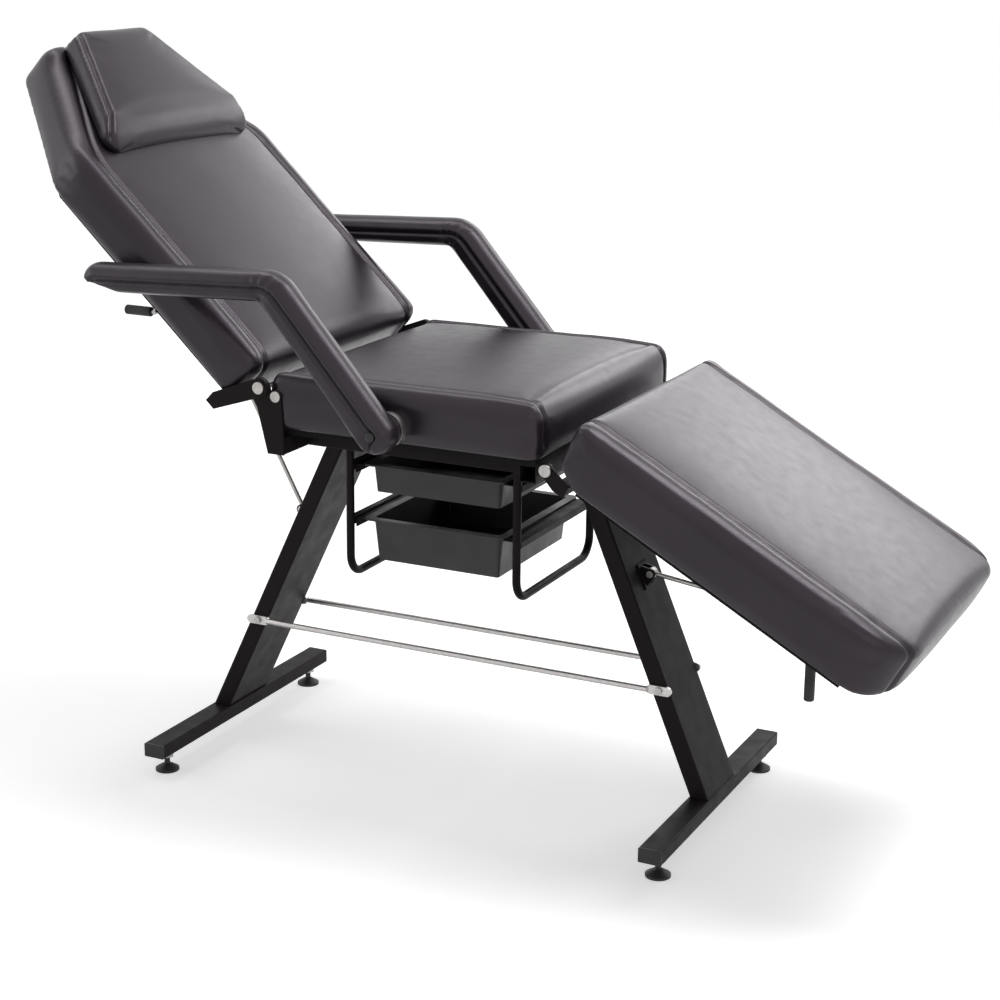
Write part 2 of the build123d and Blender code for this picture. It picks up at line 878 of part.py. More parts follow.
with BuildPart() as arm_pivot_bolts:
    for across in sides:
        head_plane = side_plane(across * bolt_head_inner)
        extrude(
            disc(head_plane, arm_bolt_head_radius, arm_pivot_x, arm_pivot_z),
            amount=-across * arm_bolt_head_thickness,
        )
        extrude(
            disc(head_plane, arm_bolt_radius, arm_pivot_x, arm_pivot_z),
            amount=across * (bolt_head_inner - batten_outer + batten_width),
        )
arm_pivot_bolts.part.label = "arm_pivot_bolts"
export_step(arm_pivot_bolts.part, "parts/arm_pivot_bolts.step")

# Armrests: a plywood core inside a bent pad
arm_tip_x = arm_pivot_x - arm_tip_reach
arm_top_z = arm_pivot_z + arm_top_rise
arm_under_z = arm_top_z - arm_bar_thickness


def arm_outline(plane):
    """Bent side outline of an armrest."""
    with BuildSketch(plane) as outline:
        with BuildLine():
            tip_top = (arm_tip_x, arm_top_z)
            outer_corner = (arm_pivot_x - arm_outer_bend, arm_top_z)
            front_end = (arm_pivot_x + arm_front_reach, arm_pivot_z - arm_front_drop)
            heel_end = (arm_pivot_x + arm_heel_reach, arm_pivot_z - arm_heel_drop)
            inner_corner = (arm_pivot_x - arm_inner_bend, arm_under_z)
            tip_under = (arm_tip_x + arm_tip_length, arm_under_z)
            tip_low = (arm_tip_x, arm_under_z + arm_tip_rise)
            Polyline(
                tip_top, outer_corner, front_end, heel_end, inner_corner, tip_under, tip_low, close=True
            )
        make_face()
        for corners, radius in (
            ((outer_corner,), arm_outer_radius),
            ((inner_corner,), arm_inner_radius),
            ((front_end, heel_end), arm_end_radius),
            ((tip_top, tip_low), arm_tip_radius),
        ):
            for corner in corners:
                nearest = outline.vertices().sort_by_distance(Vector(*corner, 0))[0]
                fillet(nearest, radius)
    return outline.sketch


for name, across in (("near_arm", -1), ("far_arm", 1)):
    core_plane = side_plane(across * (arm_inner_face + arm_core_cover))
    with BuildPart() as arm_core:
        with BuildSketch(core_plane) as core_outline:
            add(arm_outline(Plane.XY))
            offset(amount=-arm_core_inset, mode=Mode.REPLACE)
            with Locations((arm_pivot_x, arm_pivot_z)):
                Circle(arm_bolt_radius + running_gap, mode=Mode.SUBTRACT)
        extrude(amount=-across * arm_core_thickness)
    arm_core.part.label = f"{name}_core"
    export_step(arm_core.part, f"parts/{name}_core.step")

    with BuildPart() as arm_pad:
        extrude(arm_outline(side_plane(across * arm_middle)), amount=arm_width / 2, both=True)
        fillet(
            arm_pad.faces().filter_by(Axis.Y).edges(),
            arm_edge_radius,
        )
        with BuildSketch(Plane.XY.offset(arm_pivot_z)):
            plan_end = arm_pivot_x + arm_outer_radius
            with Locations(((arm_tip_x + plan_end) / 2, across * arm_middle)):
                RectangleRounded(plan_end - arm_tip_x, arm_width, arm_plan_radius)
            with Locations((plan_end - arm_outer_radius / 2, across * arm_middle)):
                Rectangle(2 * arm_outer_radius, arm_width)
        extrude(amount=arm_top_rise + overrun, both=True, mode=Mode.INTERSECT)
        with BuildSketch(core_plane):
            add(arm_outline(Plane.XY))
            offset(amount=-arm_core_inset, mode=Mode.REPLACE)
        extrude(amount=-across * arm_core_thickness, mode=Mode.SUBTRACT)
        extrude(
            disc(core_plane, arm_boss_radius + side_gap, arm_pivot_x, arm_pivot_z),
            amount=across * overrun,
            mode=Mode.SUBTRACT,
        )
        extrude(
            disc(core_plane, arm_recess_radius, arm_pivot_x, arm_pivot_z),
            amount=-across * (arm_width + overrun),
            mode=Mode.SUBTRACT,
        )
    arm_pad.part.label = f"{name}_pad"
    export_step(arm_pad.part, f"parts/{name}_pad.step")

# Back: cushion, board, rails and cross members
head_taper_start = back_start + shoulder_station
back_middle_out = back_face_height - back_cushion_thickness / 2


def back_plan(plane):
    """Plan of the back: parallel sides, then a taper to the head end."""
    with BuildSketch(plane) as outline:
        with BuildLine():
            Polyline(
                (back_start, -half_width),
                (head_taper_start, -half_width),
                (back_end, -head_half_width),
                (back_end, head_half_width),
                (head_taper_start, half_width),
                (back_start, half_width),
                close=True,
            )
        make_face()
        plan_columns = outline.vertices().group_by(Axis.X)
        fillet(plan_columns[2], head_corner_radius)
        fillet(plan_columns[1], shoulder_radius)
        fillet(plan_columns[0], cushion_corner_radius)
    return outline.sketch


with BuildPart() as back_cushion:
    add(
        upholstered(
            back_plan(plan_of(back_side(), back_middle_out)),
            back_side(),
            -back_rear_face,
            back_cushion_thickness,
            crown_height,
            cushion_edge_radius,
        )
    )
    seam_prism = seam_cut(back_side(), back_face_height, head_taper_start, seam_inset)
    add(seam_prism, mode=Mode.SUBTRACT)
back_cushion.part.label = "back_cushion"
export_step(back_cushion.part, "parts/back_cushion.step")

with BuildPart() as back_board:
    with BuildSketch(plan_of(back_side(), -back_board_rear)):
        add(back_plan(Plane.XY))
        offset(amount=-board_inset, mode=Mode.REPLACE)
    extrude(amount=board_thickness)
back_board.part.label = "back_board"
export_step(back_board.part, "parts/back_board.step")

back_rail_start = back_member_station + pad_rail_tube / 2
with BuildPart() as back_rails:
    for across in sides:
        extrude(
            box_section(
                section_of(back_side(), back_rail_start),
                pad_rail_tube,
                pad_rail_tube,
                hoop_wall,
                across * pad_rail_offset,
                -back_rail_middle,
            ),
            amount=-(back_rail_end - back_rail_start),
        )
back_rails.part.label = "back_rails"
export_step(back_rails.part, "parts/back_rails.step")

with BuildPart() as back_cross_members:
    for station, reach in (
        (back_member_station, back_member_reach),
        (back_upper_member_station, pad_rail_offset - pad_rail_tube / 2),
    ):
        extrude(
            box_section(
                back_side(), pad_rail_tube, pad_rail_tube, hoop_wall, station, -back_rail_middle
            ),
            amount=reach,
            both=True,
        )
back_cross_members.part.label = "back_cross_members"
export_step(back_cross_members.part, "parts/back_cross_members.step")

with BuildPart() as back_hinge_plates:
    for across in sides:
        plate_plane = back_side(across * back_plate_inner)
        plate = boss_plate(
            plate_plane,
            hinge_boss_radius,
            (0, 0),
            pad_rail_tube,
            pad_rail_tube,
            (back_member_station, -back_rail_middle),
        )
        extrude(plate, amount=across * hinge_plate_thickness)
        extrude(
            disc(plate_plane, hinge_bolt_radius + running_gap),
            amount=across * hinge_plate_thickness,
            mode=Mode.SUBTRACT,
        )
back_hinge_plates.part.label = "back_hinge_plates"
export_step(back_hinge_plates.part, "parts/back_hinge_plates.step")

# Head pillow on hook tapes
pillow_from = back_start + pillow_start
pillow_to = pillow_from + pillow_length


def pillow_plan(plane):
    """Trapezoid plan of the pillow."""
    with BuildSketch(plane) as outline:
        with BuildLine():
            Polyline(
                (pillow_from, -pillow_base_half),
                (pillow_to, -pillow_top_half),
                (pillow_to, pillow_top_half),
                (pillow_from, pillow_base_half),
                close=True,
            )
        make_face()
        fillet(outline.vertices(), pillow_corner_radius)
    return outline.sketch


with BuildPart() as pillow_tapes:
    for station in (pillow_from + tape_inset, pillow_to - tape_inset):
        with BuildSketch(plan_of(back_side(), back_face_height - crown_height)):
            with Locations((station, 0)):
                Rectangle(tape_width, tape_length)
        extrude(amount=crown_height + tape_thickness)
    add(back_cushion.part, mode=Mode.SUBTRACT)
pillow_tapes.part.label = "pillow_tapes"
export_step(pillow_tapes.part, "parts/pillow_tapes.step")

with BuildPart() as head_pillow:
    extrude(
        pillow_plan(plan_of(back_side(), back_face_height - crown_height)),
        amount=crown_height + pillow_head_height,
    )
    neck_top = back_face_height + pillow_neck_height
    head_top = back_face_height + pillow_head_height
    pillow_low = back_face_height - crown_height
    with BuildSketch(back_side()):
        with BuildLine():
            Polyline(
                (pillow_from, pillow_low),
                (pillow_from, back_face_height + pillow_edge_radius),
                (pillow_from + pillow_neck_slope, neck_top),
                (pillow_to, head_top),
                (pillow_to, pillow_low),
                close=True,
            )
        make_face()
    extrude(amount=pillow_base_half, both=True, mode=Mode.INTERSECT)
    upper_faces = head_pillow.faces().sort_by(Axis((0, 0, 0), back_side().y_dir))[-2:]
    ridge = upper_faces[0].edges() & upper_faces[1].edges()
    fillet(ridge, pillow_neck_radius)
    add(back_cushion.part, mode=Mode.SUBTRACT)
    add(pillow_tapes.part, mode=Mode.SUBTRACT)
head_pillow.part.label = "head_pillow"
export_step(head_pillow.part, "parts/head_pillow.step")

# Leg rest: cushion, board, rails, cross members and hinge arms
leg_middle_out = leg_underside + leg_cushion_thickness / 2
with BuildSketch(plan_of(leg_side(), leg_middle_out)) as leg_plan:
    with BuildLine():
        Polyline(
            (leg_start, -half_width),
            (leg_end, -half_width),
            (leg_end, half_width),
            (leg_start, half_width),
            close=True,
        )
    make_face()
    plan_columns = leg_plan.vertices().group_by(Axis.X)
    fillet(plan_columns[1], foot_corner_radius)
    fillet(plan_columns[0], cushion_corner_radius)

with BuildPart() as leg_rest_cushion:
    add(
        upholstered(
            leg_plan.sketch,
            leg_side(),
            leg_underside,
            leg_cushion_thickness,
            crown_height,
            cushion_edge_radius,
        )
    )
    round_start = leg_end - foot_round_length
    with BuildSketch(leg_side()):
        with BuildLine():
            heel_low = (leg_start + heel_chamfer_length, leg_underside)
            heel_high = (leg_start, leg_underside + heel_chamfer_height)
            round_low = (round_start, leg_underside)
            round_high = (leg_end, leg_underside + foot_round_height)
            top_far = (leg_end, leg_top_face + overrun)
            top_near = (leg_start, leg_top_face + overrun)
            Line(heel_high, heel_low)
            Line(heel_low, round_low)
            TangentArc(round_low, round_high, tangent=(1, 0))
            Line(round_high, top_far)
            Line(top_far, top_near)
            Line(top_near, heel_high)
        make_face()
    extrude(amount=cushion_width, both=True, mode=Mode.INTERSECT)
    add(seam_cut(leg_side(), leg_top_face, leg_end - foot_corner_radius, seam_inset), mode=Mode.SUBTRACT)
leg_rest_cushion.part.label = "leg_rest_cushion"
export_step(leg_rest_cushion.part, "parts/leg_rest_cushion.step")

with BuildPart() as leg_rest_board:
    with BuildSketch(plan_of(leg_side(), leg_board_lower)):
        with Locations(((leg_board_start + leg_board_end) / 2, 0)):
            Rectangle(leg_board_end - leg_board_start, cushion_width - 2 * board_inset)
    extrude(amount=board_thickness)
leg_rest_board.part.label = "leg_rest_board"
export_step(leg_rest_board.part, "parts/leg_rest_board.step")

leg_rail_start = leg_member_station + pad_rail_tube / 2
leg_rail_end = leg_upper_member_station + pad_rail_tube / 2
leg_arm_inner = leg_lug_offset + leg_lug_thickness / 2 + side_gap
with BuildPart() as leg_rest_rails:
    for across in sides:
        extrude(
            box_section(
                section_of(leg_side(), leg_rail_start),
                pad_rail_tube,
                pad_rail_tube,
                hoop_wall,
                across * pad_rail_offset,
                leg_rail_middle,
            ),
            amount=leg_rail_end - leg_rail_start,
        )
leg_rest_rails.part.label = "leg_rest_rails"
export_step(leg_rest_rails.part, "parts/leg_rest_rails.step")

with BuildPart() as leg_rest_cross_members:
    for station, reach in (
        (leg_member_station, leg_arm_inner),
        (leg_upper_member_station, pad_rail_offset - pad_rail_tube / 2),
    ):
        extrude(
            box_section(leg_side(), pad_rail_tube, pad_rail_tube, hoop_wall, station, leg_rail_middle),
            amount=reach,
            both=True,
        )
leg_rest_cross_members.part.label = "leg_rest_cross_members"
export_step(leg_rest_cross_members.part, "parts/leg_rest_cross_members.step")

with BuildPart() as leg_rest_arms:
    for across in sides:
        arm_plane = leg_side(across * leg_arm_inner)
        plate = boss_plate(
            arm_plane,
            leg_lug_radius,
            (0, 0),
            pad_rail_tube,
            pad_rail_tube,
            (leg_member_station, leg_rail_middle),
        )
        extrude(plate, amount=-across * leg_lug_thickness)
        extrude(
            disc(arm_plane, leg_bolt_radius + running_gap),
            amount=-across * leg_lug_thickness,
            mode=Mode.SUBTRACT,
        )
leg_rest_arms.part.label = "leg_rest_arms"
export_step(leg_rest_arms.part, "parts/leg_rest_arms.step")

lug_inner = leg_lug_offset - leg_lug_thickness / 2
member_face = front_member_x + frame_tube / 2
with BuildPart() as leg_rest_lugs:
    for across in sides:
        lug_plane = side_plane(across * lug_inner)
        lug = boss_plate(
            lug_plane,
            leg_lug_radius,
            (leg_pivot_x, leg_pivot_z),
            leg_lug_radius,
            2 * leg_lug_radius,
            (member_face + leg_lug_radius / 2, leg_pivot_z),
        )
        extrude(lug, amount=-across * leg_lug_thickness)
        extrude(
            disc(lug_plane, leg_bolt_radius, leg_pivot_x, leg_pivot_z),
            amount=-across * leg_lug_thickness,
            mode=Mode.SUBTRACT,
        )
leg_rest_lugs.part.label = "leg_rest_lugs"
export_step(leg_rest_lugs.part, "parts/leg_rest_lugs.step")

with BuildPart() as leg_rest_pivot_bolts:
    head_inner = leg_arm_inner + leg_lug_thickness + side_gap
    for across in sides:
        head_plane = side_plane(across * head_inner)
        extrude(
            disc(head_plane, bolt_head_radius, leg_pivot_x, leg_pivot_z),
            amount=-across * bolt_head_thickness,
        )
        extrude(
            disc(head_plane, leg_bolt_radius, leg_pivot_x, leg_pivot_z),
            amount=across * (head_inner - lug_inner),
        )
leg_rest_pivot_bolts.part.label = "leg_rest_pivot_bolts"
export_step(leg_rest_pivot_bolts.part, "parts/leg_rest_pivot_bolts.step")

# Locking struts. Each runs from a pin on a leg to a pin under a cushion board.
back_foot_z = frame_underside - back_strut_foot_drop
back_foot_x = (
    leg_middle(rear_member_x, -rear_leg_lean, back_foot_z)
    - (leg_depth / 2 + back_strut_standoff) / cos(rear_leg_lean)
)
back_head = place(back_side(), back_strut_head_station, -back_board_rear - strut_head_drop)
leg_foot_z = frame_underside - leg_strut_foot_drop
leg_foot_x = (
    leg_middle(front_member_x, front_leg_lean, leg_foot_z)
    + (leg_depth / 2 + leg_strut_standoff) / cos(front_leg_lean)
)
leg_head = place(leg_side(), leg_strut_head_station, leg_board_lower - strut_head_drop)


def strut_plane(foot_x, foot_z, head, facing):
    """Side plane of a strut: local x from its foot to its head, local y towards the board."""
    run = Vector(head.X - foot_x, 0, head.Z - foot_z)
    return Plane(origin=(foot_x, 0, foot_z), x_dir=run, z_dir=(0, facing, 0))


back_strut = strut_plane(back_foot_x, back_foot_z, back_head, 1)
leg_strut = strut_plane(leg_foot_x, leg_foot_z, leg_head, -1)
back_strut_span = hypot(back_head.X - back_foot_x, back_head.Z - back_foot_z)
leg_strut_span = hypot(leg_head.X - leg_foot_x, leg_head.Z - leg_foot_z)
ear_inner = strut_eye_width / 2 + strut_ear_gap
case_ear_inner = case_half_width + strut_ear_gap


def strut_rod(plane, length):
    """Round rod with an eye on its foot end."""
    with BuildPart() as rod:
        extrude(disc(plane, strut_eye_radius), amount=strut_eye_width / 2, both=True)
        rod_start = Plane(origin=plane.origin, x_dir=(0, 1, 0), z_dir=plane.x_dir)
        extrude(disc(rod_start, strut_rod_radius), amount=length)
        extrude(
            disc(plane, strut_pin_radius + running_gap),
            amount=strut_eye_width,
            both=True,
            mode=Mode.SUBTRACT,
        )
    return rod.part


def strut_case(plane, span, length, wall_height, lever_station):
    """Open channel around the rod, with a lug on its head end and ears for a lever shaft."""
    mouth = span - length
    end = span - case_end_gap
    web_outer = -case_web_offset - case_wall
    lever_x = span - lever_station
    low_from = span - case_head_length
    with BuildPart() as case:
        walls = closed_outline(
            plane,
            [
                (mouth, web_outer),
                (end, web_outer),
                (end, case_head_walls),
                (low_from, case_head_walls),
                (low_from - case_slope_length, wall_height),
                (mouth, wall_height),
            ],
        )
        extrude(walls, amount=case_half_width, both=True)
        ears = boss_plate(
            plane,
            lever_ear_radius,
            (lever_x, -lever_shaft_offset),
            2 * lever_shaft_offset,
            case_wall,
            (lever_x, web_outer + case_wall / 2),
        )
        extrude(ears, amount=case_half_width, both=True)
        hollow = closed_outline(
            plane,
            [
                (mouth - overrun, -case_web_offset),
                (end + overrun, -case_web_offset),
                (end + overrun, wall_height + overrun),
                (mouth - overrun, wall_height + overrun),
            ],
        )
        extrude(hollow, amount=case_half_width - case_wall, both=True, mode=Mode.SUBTRACT)
        ear_hollow = closed_outline(
            plane,
            [
                (lever_x - overrun, web_outer),
                (lever_x + overrun, web_outer),
                (lever_x + overrun, web_outer - overrun),
                (lever_x - overrun, web_outer - overrun),
            ],
        )
        extrude(ear_hollow, amount=case_half_width - case_wall, both=True, mode=Mode.SUBTRACT)
        window = closed_outline(
            plane,
            [
                (lever_x - lever_window_half, web_outer - case_wall),
                (lever_x + lever_window_half, web_outer - case_wall),
                (lever_x + lever_window_half, 0),
                (lever_x - lever_window_half, 0),
            ],
        )
        window_half = cam_half_width + side_gap
        extrude(window, amount=window_half, both=True, mode=Mode.SUBTRACT)
        lug = boss_plate(
            plane,
            strut_eye_radius,
            (span, 0),
            case_lug_length - strut_eye_radius,
            2 * strut_eye_radius,
            (span - (case_lug_length + strut_eye_radius) / 2, 0),
        )
        extrude(lug, amount=case_half_width - case_wall, both=True)
        extrude(
            disc(plane, strut_pin_radius + running_gap, span, 0),
            amount=case_half_width,
            both=True,
            mode=Mode.SUBTRACT,
        )
        extrude(
            disc(plane, lever_shaft_radius + running_gap, lever_x, -lever_shaft_offset),
            amount=case_half_width,
            both=True,
            mode=Mode.SUBTRACT,
        )
    return case.part


def release_lever(plane, span, station, cam_gap, reach, grip_direction):
    """Shaft across the case with a cam finger, turned at its near end into a spigot."""
    lever_x = span - station
    centre = place(plane, lever_x, -lever_shaft_offset)
    shaft_side = case_half_width + lever_side_reach
    with BuildPart() as lever:
        start = Plane(origin=(centre.X, shaft_side, centre.Z), x_dir=(1, 0, 0), z_dir=(0, -1, 0))
        extrude(disc(start, lever_shaft_radius), amount=shaft_side + reach + lever_shaft_radius)
        spigot = Plane(origin=(centre.X, -reach, centre.Z), x_dir=(0, 1, 0), z_dir=grip_direction)
        extrude(disc(spigot, lever_shaft_radius), amount=lever_spigot_length)
        finger = closed_outline(
            plane,
            [
                (lever_x - cam_half_thickness, -lever_shaft_offset),
                (lever_x + cam_half_thickness, -lever_shaft_offset),
                (lever_x + cam_half_thickness, -strut_rod_radius - cam_gap),
                (lever_x - cam_half_thickness, -strut_rod_radius - cam_gap),
            ],
        )
        extrude(finger, amount=cam_half_width, both=True)
    return lever.part


def release_grip(plane, span, station, reach, length, grip_direction):
    """Round grip pushed on the lever's spigot."""
    centre = place(plane, span - station, -lever_shaft_offset)
    spigot = Plane(origin=(centre.X, -reach, centre.Z), x_dir=(0, 1, 0), z_dir=grip_direction)
    with BuildPart() as grip:
        extrude(disc(spigot.offset(grip_start), grip_radius), amount=length)
        fillet(grip.edges().filter_by(GeomType.CIRCLE), grip_radius / 3)
        extrude(
            disc(spigot, lever_shaft_radius), amount=lever_spigot_length, mode=Mode.SUBTRACT
        )
    return grip.part


with BuildPart() as back_strut_rod:
    add(strut_rod(back_strut, back_strut_rod_length))
back_strut_rod.part.label = "back_strut_rod"
export_step(back_strut_rod.part, "parts/back_strut_rod.step")

with BuildPart() as back_strut_case:
    add(
        strut_case(
            back_strut,
            back_strut_span,
            back_strut_case_length,
            back_case_wall_height,
            back_lever_station,
        )
    )
back_strut_case.part.label = "back_strut_case"
export_step(back_strut_case.part, "parts/back_strut_case.step")

with BuildPart() as back_release_lever:
    add(
        release_lever(
            back_strut,
            back_strut_span,
            back_lever_station,
            back_cam_gap,
            back_lever_reach,
            (-1, 0, 0),
        )
    )
back_release_lever.part.label = "back_release_lever"
export_step(back_release_lever.part, "parts/back_release_lever.step")

with BuildPart() as back_release_grip:
    add(
        release_grip(
            back_strut,
            back_strut_span,
            back_lever_station,
            back_lever_reach,
            back_grip_length,
            (-1, 0, 0),
        )
    )
back_release_grip.part.label = "back_release_grip"
export_step(back_release_grip.part, "parts/back_release_grip.step")

with BuildPart() as leg_strut_rod:
    add(strut_rod(leg_strut, leg_strut_rod_length))
leg_strut_rod.part.label = "leg_strut_rod"
export_step(leg_strut_rod.part, "parts/leg_strut_rod.step")

with BuildPart() as leg_strut_case:
    add(
        strut_case(
            leg_strut,
            leg_strut_span,
            leg_strut_case_length,
            leg_case_wall_height,
            leg_lever_station,
        )
    )
leg_strut_case.part.label = "leg_strut_case"
export_step(leg_strut_case.part, "parts/leg_strut_case.step")

with BuildPart() as leg_release_lever:
    add(
        release_lever(
            leg_strut, leg_strut_span, leg_lever_station, leg_cam_gap, leg_lever_reach, (0, 0, -1)
        )
    )
leg_release_lever.part.label = "leg_release_lever"
export_step(leg_release_lever.part, "parts/leg_release_lever.step")

with BuildPart() as leg_release_grip:
    add(
        release_grip(
            leg_strut, leg_strut_span, leg_lever_station, leg_lever_reach, leg_grip_length, (0, 0, -1)
        )
    )
leg_release_grip.part.label = "leg_release_grip"
export_step(leg_release_grip.part, "parts/leg_release_grip.step")

# Brackets that hold the struts' feet on the legs
with BuildPart() as strut_foot_brackets:
    for foot_x, foot_z, lean, outward, standoff in (
        (back_foot_x, back_foot_z, -rear_leg_lean, -1, back_strut_standoff),
        (leg_foot_x, leg_foot_z, front_leg_lean, 1, leg_strut_standoff),
    ):
        down = Vector(sin(lean), 0, -cos(lean))
        bracket_side = Plane(origin=(foot_x, 0, foot_z), x_dir=down, z_dir=(0, -outward, 0))
        towards_leg = -standoff
        plate = closed_outline(
            bracket_side,
            [
                (-foot_plate_length / 2, towards_leg),
                (foot_plate_length / 2, towards_leg),
                (foot_plate_length / 2, towards_leg + foot_plate_thickness),
                (-foot_plate_length / 2, towards_leg + foot_plate_thickness),
            ],
        )
        extrude(plate, amount=foot_plate_width / 2, both=True)
        ear = boss_plate(
            bracket_side,
            strut_eye_radius,
            (0, 0),
            foot_plate_length - strut_eye_radius,
            foot_plate_thickness,
            (0, towards_leg + foot_plate_thickness / 2),
        )
        for across in sides:
            ear_face = ear.moved(Location((0, across * ear_inner, 0)))
            extrude(ear_face, amount=-across * outward * strut_ear_thickness)
        extrude(
            disc(bracket_side, strut_pin_radius), amount=overrun, both=True, mode=Mode.SUBTRACT
        )
strut_foot_brackets.part.label = "strut_foot_brackets"
export_step(strut_foot_brackets.part, "parts/strut_foot_brackets.step")


def strut_pin(point, inner):
    """Pin through a bracket's ears with a head on each end."""
    outer = inner + strut_ear_thickness
    pin_plane = Plane(origin=(point.X, 0, point.Z), x_dir=(1, 0, 0), z_dir=(0, 1, 0))
    with BuildPart() as pin:
        extrude(disc(pin_plane, strut_pin_radius), amount=outer, both=True)
        for across in sides:
            extrude(
                disc(pin_plane.offset(across * outer), strut_pin_head_radius),
                amount=across * strut_pin_head,
            )
    return pin.part


with BuildPart() as strut_foot_pins:
    add(strut_pin(Vector(back_foot_x, 0, back_foot_z), ear_inner))
    add(strut_pin(Vector(leg_foot_x, 0, leg_foot_z), ear_inner))
strut_foot_pins.part.label = "strut_foot_pins"
export_step(strut_foot_pins.part, "parts/strut_foot_pins.step")


def head_bracket(side, station, board_face, facing):
    """Plate under a board with two ears around the strut's lug."""
    out = -1 * strut_head_drop
    with BuildPart() as bracket:
        plate_start = station - bracket_plate_width / 2
        plate_end = station + strut_eye_radius + bracket_plate_thickness
        plate = closed_outline(
            side,
            [
                (plate_start, board_face),
                (plate_end, board_face),
                (plate_end, board_face - bracket_plate_thickness),
                (plate_start, board_face - bracket_plate_thickness),
            ],
        )
        extrude(plate, amount=bracket_plate_width / 2, both=True)
        ear = boss_plate(
            side,
            strut_eye_radius,
            (station, board_face + out),
            2 * strut_eye_radius,
            bracket_plate_thickness,
            (station, board_face - bracket_plate_thickness / 2),
        )
        for across in sides:
            ear_face = ear.moved(Location((0, across * case_ear_inner, 0)))
            extrude(ear_face, amount=across * facing * strut_ear_thickness)
        extrude(
            disc(side, strut_pin_radius, station, board_face + out),
            amount=overrun,
            both=True,
            mode=Mode.SUBTRACT,
        )
    return bracket.part


with BuildPart() as back_strut_bracket:
    add(head_bracket(back_side(), back_strut_head_station, -back_board_rear, 1))
back_strut_bracket.part.label = "back_strut_bracket"
export_step(back_strut_bracket.part, "parts/back_strut_bracket.step")

with BuildPart() as back_strut_pin:
    add(strut_pin(back_head, case_ear_inner))
back_strut_pin.part.label = "back_strut_pin"
export_step(back_strut_pin.part, "parts/back_strut_pin.step")

with BuildPart() as leg_strut_bracket:
    add(head_bracket(leg_side(), leg_strut_head_station, leg_board_lower, -1))
leg_strut_bracket.part.label = "leg_strut_bracket"
export_step(leg_strut_bracket.part, "parts/leg_strut_bracket.step")

with BuildPart() as leg_strut_pin:
    add(strut_pin(leg_head, case_ear_inner))
leg_strut_pin.part.label = "leg_strut_pin"
export_step(leg_strut_pin.part, "parts/leg_strut_pin.step")
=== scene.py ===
import json
import math
from collections import namedtuple

import bpy
import numpy as np
from mathutils import Matrix, Vector


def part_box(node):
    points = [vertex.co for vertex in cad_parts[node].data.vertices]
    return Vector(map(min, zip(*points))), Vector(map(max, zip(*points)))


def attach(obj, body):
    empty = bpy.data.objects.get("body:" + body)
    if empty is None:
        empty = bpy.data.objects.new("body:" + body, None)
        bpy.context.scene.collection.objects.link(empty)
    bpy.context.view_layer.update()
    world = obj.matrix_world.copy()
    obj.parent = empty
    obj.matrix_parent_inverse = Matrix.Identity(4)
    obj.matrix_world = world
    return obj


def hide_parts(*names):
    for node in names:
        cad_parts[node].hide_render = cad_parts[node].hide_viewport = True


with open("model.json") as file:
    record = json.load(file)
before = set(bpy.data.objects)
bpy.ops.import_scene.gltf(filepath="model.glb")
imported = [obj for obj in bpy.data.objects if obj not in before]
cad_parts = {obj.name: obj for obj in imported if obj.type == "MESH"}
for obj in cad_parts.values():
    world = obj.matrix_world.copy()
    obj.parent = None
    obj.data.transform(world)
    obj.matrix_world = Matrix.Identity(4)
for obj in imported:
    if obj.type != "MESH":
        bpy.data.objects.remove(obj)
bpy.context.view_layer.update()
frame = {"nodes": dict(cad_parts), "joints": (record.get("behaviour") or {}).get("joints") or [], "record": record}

# One millimetre, in metres
MM = 0.001

joints = {joint["name"]: joint for joint in frame["joints"]}
scene = bpy.context.scene


# What the frame gives, in millimetres

def node_box(name):
    """A node's lowest and highest corners at rest, to a thousandth of a millimetre."""
    return [[round(value / MM, 3) for value in corner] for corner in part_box(name)]


def axis_place(name):
    """A point on a joint's axis."""
    return [round(value / MM, 3) for value in joints[name]["pos_m"]]


def resting_lean(name):
    """How far a cushion leans from level at rest. Its joint's lower limit lays it level."""
    return math.radians(-joints[name]["range_deg"][0])


(SEAT_REAR, _, SEAT_BASE), (SEAT_FRONT, SOLID_HALF, _) = node_box("seat_cushion")
(_, arm_outer_y, _), (_, arm_inner_y, _) = node_box("near_arm_pad")
ARM_INNER = -arm_inner_y
ARM_WIDTH = arm_inner_y - arm_outer_y
PIVOT_X, _, PIVOT_Z = axis_place("near_arm_swing")
BACK_PIVOT = axis_place("back_recline")
BACK_LEAN = resting_lean("back_recline")
LEG_PIVOT = axis_place("leg_rest_fold")
LEG_LEAN = resting_lean("leg_rest_fold")

# Sizes of the covers, in millimetres

# The back, the pillow and the leg rest are measured in their own axes: along the cushion from its pivot,
# across it, and out of its face.
SEAT_HALF = SOLID_HALF + 4.0
BACK_HALF = SOLID_HALF + 8.0
LEG_HALF = SOLID_HALF + 9.0
SEAT_TOP = SEAT_BASE + 98.0
BACK_START = 24.2
BACK_END = BACK_START + 705.0
BACK_SHOULDER = BACK_START + 466.0
BACK_HEAD_HALF = 127.0
BACK_FACE = 30.1
BACK_REAR = BACK_FACE - 92.5
LEG_START = 12.0
LEG_END = 629.1
LEG_BASE = 10.5
LEG_TOP = 121.0
PILLOW_START = BACK_START + 457.0
PILLOW_END = 720.0
PILLOW_NECK_HALF = 228.0
PILLOW_HEAD_HALF = 103.0
PILLOW_BASE = 24.0
PILLOW_TOP = 76.0

# Room that a cover starts with on each side, and fills as it swells
SIDE_ROOM = 3.0
TOP_ROOM = 3.0
REAR_ROOM = 2.0
SEAT_FRONT_ROOM = 4.0
ARM_ROOM = 1.5
WIDEST_ROOM = 1.0


# Mesh helpers, with points in millimetres

